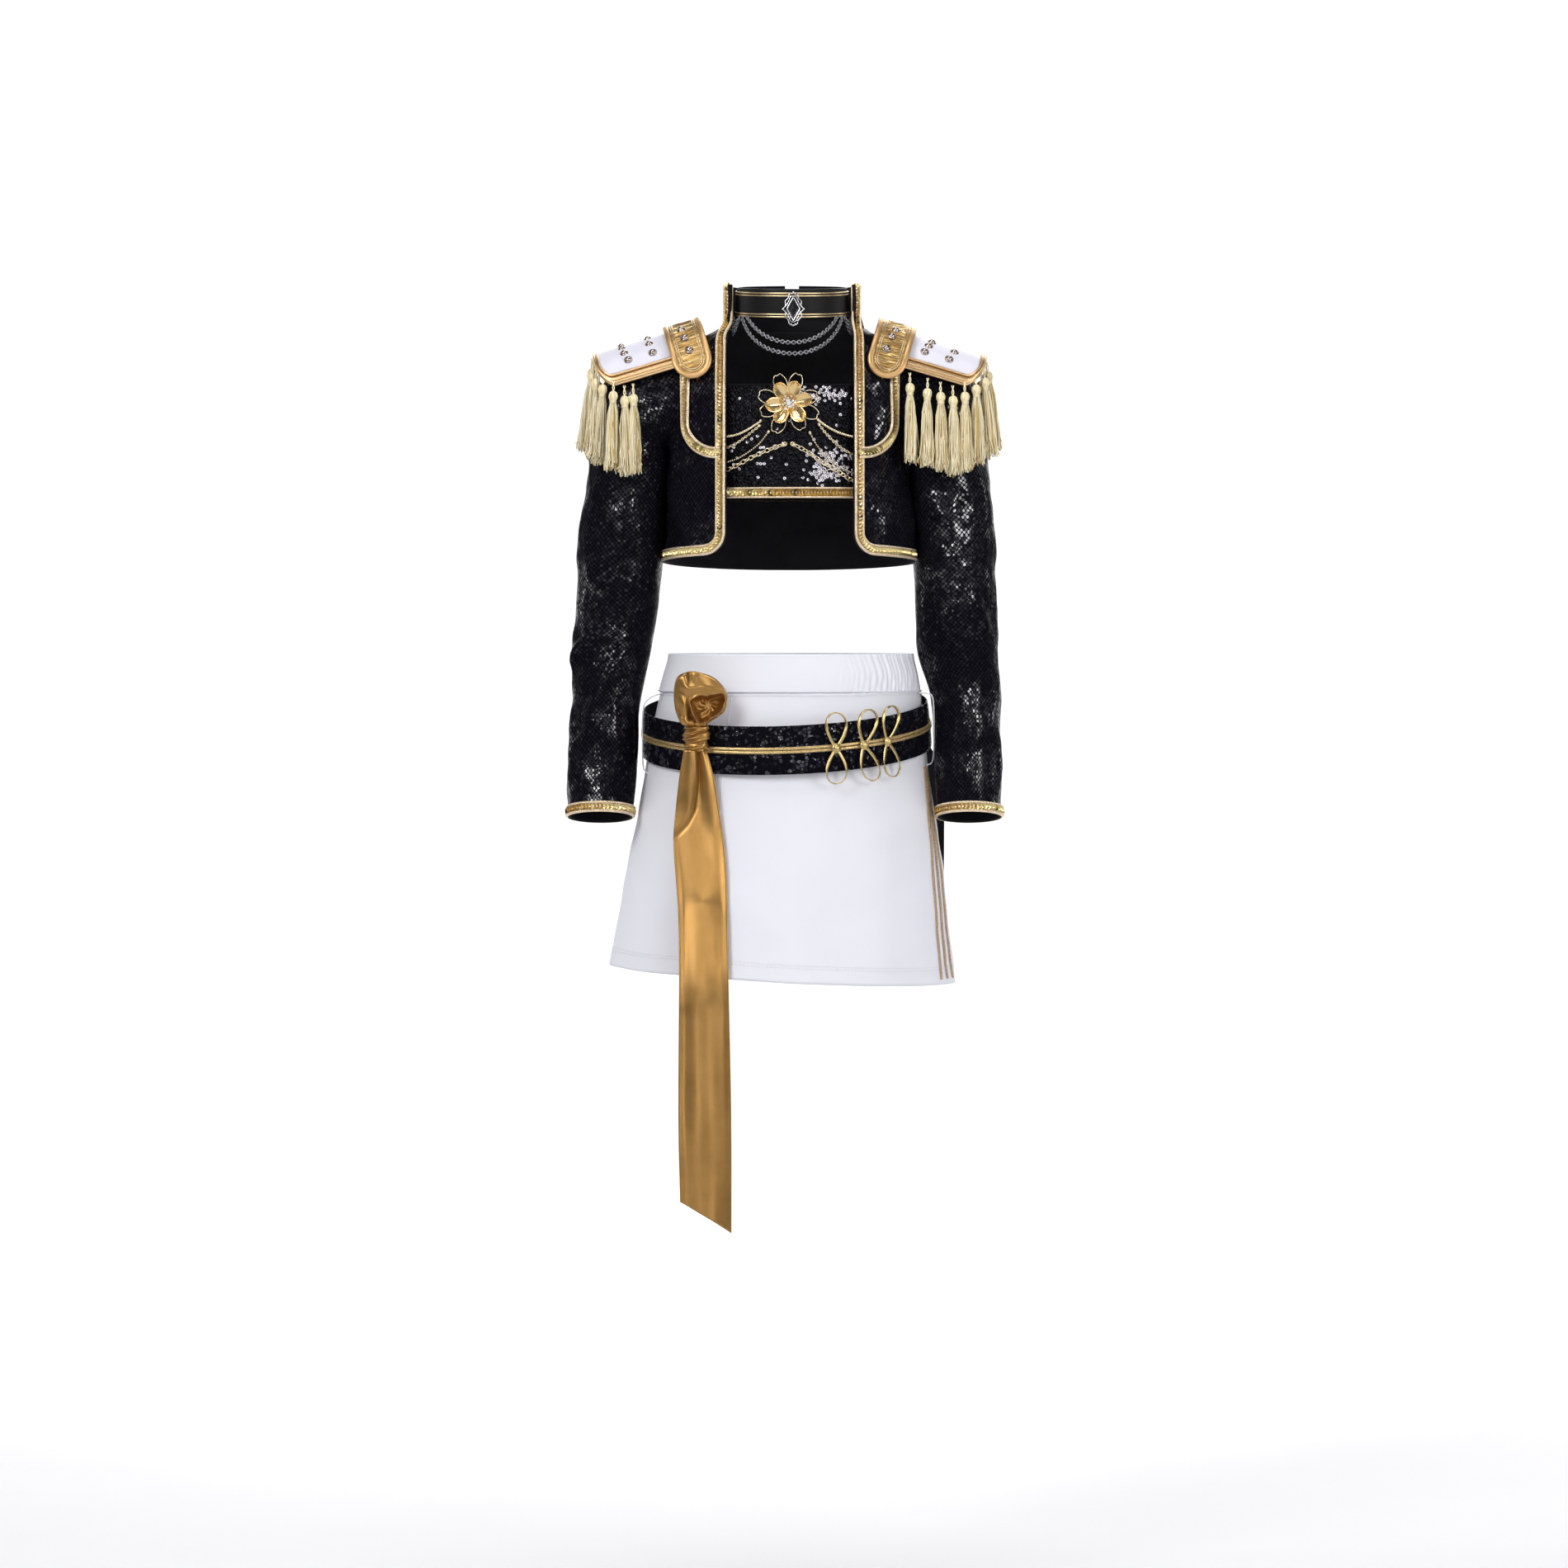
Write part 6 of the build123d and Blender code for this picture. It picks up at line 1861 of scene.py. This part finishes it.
    # knot: bands of cloth wrapped round one another
    heap = Heap()
    ky, kz = KNOT_Y - 9.8, KNOT_Z
    ang = np.linspace(0, TAU, 96, endpoint=False)[None, :]
    h = np.linspace(-1, 1, 60)[:, None]
    turn = -0.37
    round_ = (1 - np.abs(h) ** 3.2 * 0.34)
    wrap = 0.95 * np.sin(7.5 * h + 1.15 * np.sin(ang + 0.9) + 0.8) + 0.55 * np.sin(15 * h - 2.2 * np.sin(ang - 0.4)) + 0.35 * np.sin(24 * h + 2.6 * np.cos(ang))
    taper = 1 + 0.10 * h
    a, b = 11.6 * round_ * taper + wrap * 0.9, 7.4 * round_ + wrap * 1.35
    x, y = a * np.sin(ang), -b * np.cos(ang)
    z = 11.2 * h + 1.6 * np.sin(ang) * (1 - h ** 2)
    pts = np.stack(np.broadcast_arrays(x * math.cos(turn) - y * math.sin(turn) + BOW_X,
        x * math.sin(turn) + y * math.cos(turn) + ky, z + kz), -1)
    heap.grid(pts, 0, np.stack(np.broadcast_arrays(h * 12, ang * 12), -1), wrap_v=True)
    for end in (0, -1):
        ring = pts[end]
        mid = ring.mean(0)
        heap.grid(np.array([ring, ring * 0.5 + mid * 0.5, ring * 0.04 + mid * 0.96])[:: 1 if end else -1], 0,
            wrap_v=True)
    # the small ear of cloth that sticks out under the knot
    ear = smooth_path(np.array([(BOW_X + 6.5, ky - 6.6, kz - 7.4), (BOW_X + 10.2, ky - 5.4, kz - 9.6),
        (BOW_X + 14.6, ky - 2.6, kz - 12.4)], float), 16)
    tube(heap, ear, np.linspace(2.4, 1.1, len(ear)), 10, 0, flat=0.55)
    heap.build("satin_knot", [SATIN], "skirt", ("bow_knot",))


RIBBON_PATH = [(KNOT_Y - 9.0, KNOT_Z - 10.0), (-91.5, -137), (-102.5, -200), (-117, -284), (-118.5, -360),
    (-117.5, -487)]


def make_ribbon():
    heap = Heap()
    rows, cols = 220, 64
    path = smooth_path(np.array(RIBBON_PATH, float), 300)
    top = path[0, 1]
    left = smooth_path(np.array([(top, -89.5), (-100, -93.5), (-137, -97.6), (-160, -98.6), (-221, -95),
        (-300, -94.2), (-400, -93.8), (-461, -93)], float), 300)
    right = smooth_path(np.array([(top, -72.5), (-100, -66), (-137, -60), (-170, -55.6), (-221, -53), (-300, -52),
        (-400, -51), (-487, -50)], float), 300)
    s = np.linspace(0, 1, rows)[:, None]
    c = np.linspace(0, 1, cols)[None, :]
    zl = top + (-461 - top) * s
    zr = top + (-487 - top) * s
    z = zl + (zr - zl) * c
    xl = np.interp(-zl, -left[:, 0], left[:, 1])
    xr = np.interp(-zr, -right[:, 0], right[:, 1])
    x = xl + (xr - xl) * c
    y = np.interp(-z, -path[:, 1], path[:, 0])
    drop = (top - z) / (top + 487)
    # pleats that leave the knot, a fold across the upper left and slow waves below
    near = np.exp(-(drop / 0.16) ** 2)
    cleft = 2.2 * np.exp(-((c - (0.60 - 0.25 * drop)) / 0.07) ** 2) * np.exp(-(drop / 0.10) ** 2)
    left_lobe = -1.8 * np.exp(-((c - 0.30) / 0.16) ** 2) * near
    right_lobe = -2.0 * np.exp(-((c - 0.82) / 0.12) ** 2) * near
    # the left part is folded over: its edge leaves the knot and runs down to the left
    flap = np.interp(drop, (0, 0.06, 0.125, 0.155, 0.185, 0.21), (0.62, 0.57, 0.46, 0.28, 0.0, -0.4)) - c
    over = -3.6 * soft_step(flap, -0.02, 0.07) * soft_step(-drop, -0.22,
        -0.17) + 2.0 * np.exp(-((flap - 0.04) / 0.07) ** 2) * soft_step(drop, 0.02, 0.1) * soft_step(-drop, -0.22,
            -0.17)
    slow = 0.7 * np.sin(TAU * (c * 0.9 + 0.55 * drop) + 0.5) * soft_step(drop, 0.15, 0.4)
    slow += 0.35 * np.sin(TAU * (c * 1.9 - 0.35 * drop) + 2.2) * soft_step(drop, 0.2,
        0.5) + 0.5 * np.sin(drop * 21 + c * 2.2) * soft_step(drop, 0.3, 0.6)
    curl = -1.0 * (np.exp(-(c / 0.08) ** 2) + np.exp(-((1 - c) / 0.08) ** 2)) * soft_step(drop, 0.1, 0.3)
    y = y + cleft + left_lobe + right_lobe + over + slow + curl
    x = x + 1.2 * np.sin(drop * 9 + 1) * (c - 0.5)
    pts = np.stack([x, y, z], -1)
    heap.grid(pts, 0, np.stack(np.broadcast_arrays(c * 43, z), -1))
    # narrow hems along both edges
    for edge_c in (0, -1):
        tube(heap, pts[:, edge_c], 0.45, 6, 0, caps=False)
    obj = heap.build("satin_tail", [SATIN], "ribbon", ("ribbon_tail",))
    thicken(obj, 0.5, 0, 0.0)
    # black tail at the back
    heap = Heap()
    rows, cols = 90, 50
    s = np.linspace(0, 1, rows)[:, None]
    c = np.linspace(0, 1, cols)[None, :]
    z_left, z_right = -50 + (-252 + 50) * s, -52 + (-244 + 52) * s
    z = z_left + (z_right - z_left) * c
    x0 = 70 - 2 * s
    x1 = 100 + 38 * np.sin(np.clip(s / 0.34, 0, 1) * math.pi / 2) ** 0.8
    x = x0 + (x1 - x0) * c
    y = np.interp(-z, (50, 56, 110, 175, 252), (88, 89, 100, 111, 119.0)) + 0.6
    y = y + 1.5 * np.sin(TAU * c * 3.4 + 0.7) * (1 - 0.45 * soft_step(s, 0.1,
        0.9)) + 0.5 * np.sin(TAU * c * 5.3 + s * 3)
    heap.grid(np.stack(np.broadcast_arrays(x, y, z), -1), 0, np.stack(np.broadcast_arrays(c * 62, z), -1))
    obj = heap.build("black_tail", [BLACK_RIBBON, BLACK_RIBBON], "tail", ("back_tail",))
    thicken(obj, 0.9, 0, 0.0)


make_trims()
make_collar()
make_bandeau()
make_brooch()
make_strands()
make_choker()
for one_side in SIDES:
    make_epaulette(one_side)
make_tassels()
make_skirt_details()
make_frogs()
make_bow()
make_ribbon()


# ================================================================================================
# stage, lights and camera
# ================================================================================================
def make_stage():
    floor_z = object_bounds()[0][2] - 0.34
    mesh = bpy.data.meshes.new("floor")
    width, back, front, height, bend = 7.0, 5.2, -6.5, 6.0, 1.6
    arc = [(back - bend + bend * math.sin(a), bend - bend * math.cos(a)) for a in np.linspace(0, math.pi / 2, 24)]
    line = [(front, 0.0), *arc, (back, height)]
    verts = [(x, y, floor_z + z) for y, z in line for x in (-width, width)]
    faces = [(2 * i, 2 * i + 1, 2 * i + 3, 2 * i + 2) for i in range(len(line) - 1)]
    mesh.from_pydata(verts, [], faces)
    mesh.polygons.foreach_set("use_smooth", np.full(len(faces), True))
    n = Nodes("studio_paper")
    n.set(color=n.mix(n.noise(3), (0.80, 0.80, 0.81, 1), (0.84, 0.84, 0.85, 1)), rough=0.9)
    mesh.materials.append(n.mat)
    obj = bpy.data.objects.new("floor", mesh)
    bpy.context.scene.collection.objects.link(obj)


def area_light(name, place, aim, size, power, color=(1, 1, 1)):
    light = bpy.data.lights.new(name, "AREA")
    light.shape = "RECTANGLE"
    light.size, light.size_y = size
    light.energy = power
    light.color = color
    obj = bpy.data.objects.new(name, light)
    obj.location = place
    obj.visible_camera = False
    obj.rotation_euler = (Vector(aim) - Vector(place)).to_track_quat("-Z", "Y").to_euler()
    bpy.context.scene.collection.objects.link(obj)
    return obj


def make_lights():
    world = bpy.data.worlds.new("studio")
    bpy.context.scene.world = world
    world.use_nodes = True
    world.node_tree.nodes["Background"].inputs[0].default_value = (0.95, 0.96, 1.0, 1)
    world.node_tree.nodes["Background"].inputs[1].default_value = 0.16
    aim = (0, 0, 0)
    area_light("key", (-1.9, -2.6, 1.9), aim, (1.2, 1.5), 58)
    area_light("fill", (2.3, -2.4, 1.0), aim, (1.2, 1.8), 42)
    area_light("top", (0, -0.6, 2.9), aim, (1.8, 1.2), 30)
    area_light("rim_left", (-2.4, 0.9, 0.8), aim, (0.8, 1.8), 8)
    area_light("rim_right", (2.4, 0.9, 0.8), aim, (0.8, 1.8), 8)
    # small lamps for the highlights on foil, sequins and satin only
    for name, place, size, power in (
        ("glint_left", (-1.15, -3.1, 1.0), (0.35, 0.6), 9), ("glint_right", (1.0, -3.2, 0.55), (0.3, 0.6), 8),
        ("glint_low", (0.25, -3.3, -0.55), (0.4, 0.3), 4), ("glint_front", (-0.45, -3.5, 0.8), (0.3, 0.3), 5),
    ):
        area_light(name, place, aim, size, power).visible_diffuse = False
    # the back of the object, which the camera's side doesn't see, and the paper behind it
    area_light("back", (0.5, 2.5, 1.7), aim, (1.6, 1.6), 26)
    for side, x in (("left", -2.2), ("right", 2.2)):
        area_light(f"paper_{side}", (x, 2.6, 2.2), (x * 0.35, 5.2, 0.0), (2.4, 2.4), 95)


def make_camera():
    cam = bpy.data.cameras.new("camera")
    obj = bpy.data.objects.new("camera", cam)
    bpy.context.scene.collection.objects.link(obj)
    distance, eye, middle = 4.6, 0.05, -0.108
    cam.sensor_width = 36
    view_width = 1.368
    cam.lens = 36 * distance / view_width
    obj.location = (-0.005, -distance, eye)
    obj.rotation_euler = (Vector((-0.005, 0, middle)) - obj.location).to_track_quat("-Z", "Y").to_euler()
    bpy.context.scene.camera = obj


make_stage()
make_lights()
make_camera()
bpy.context.scene.view_settings.view_transform = "Standard"
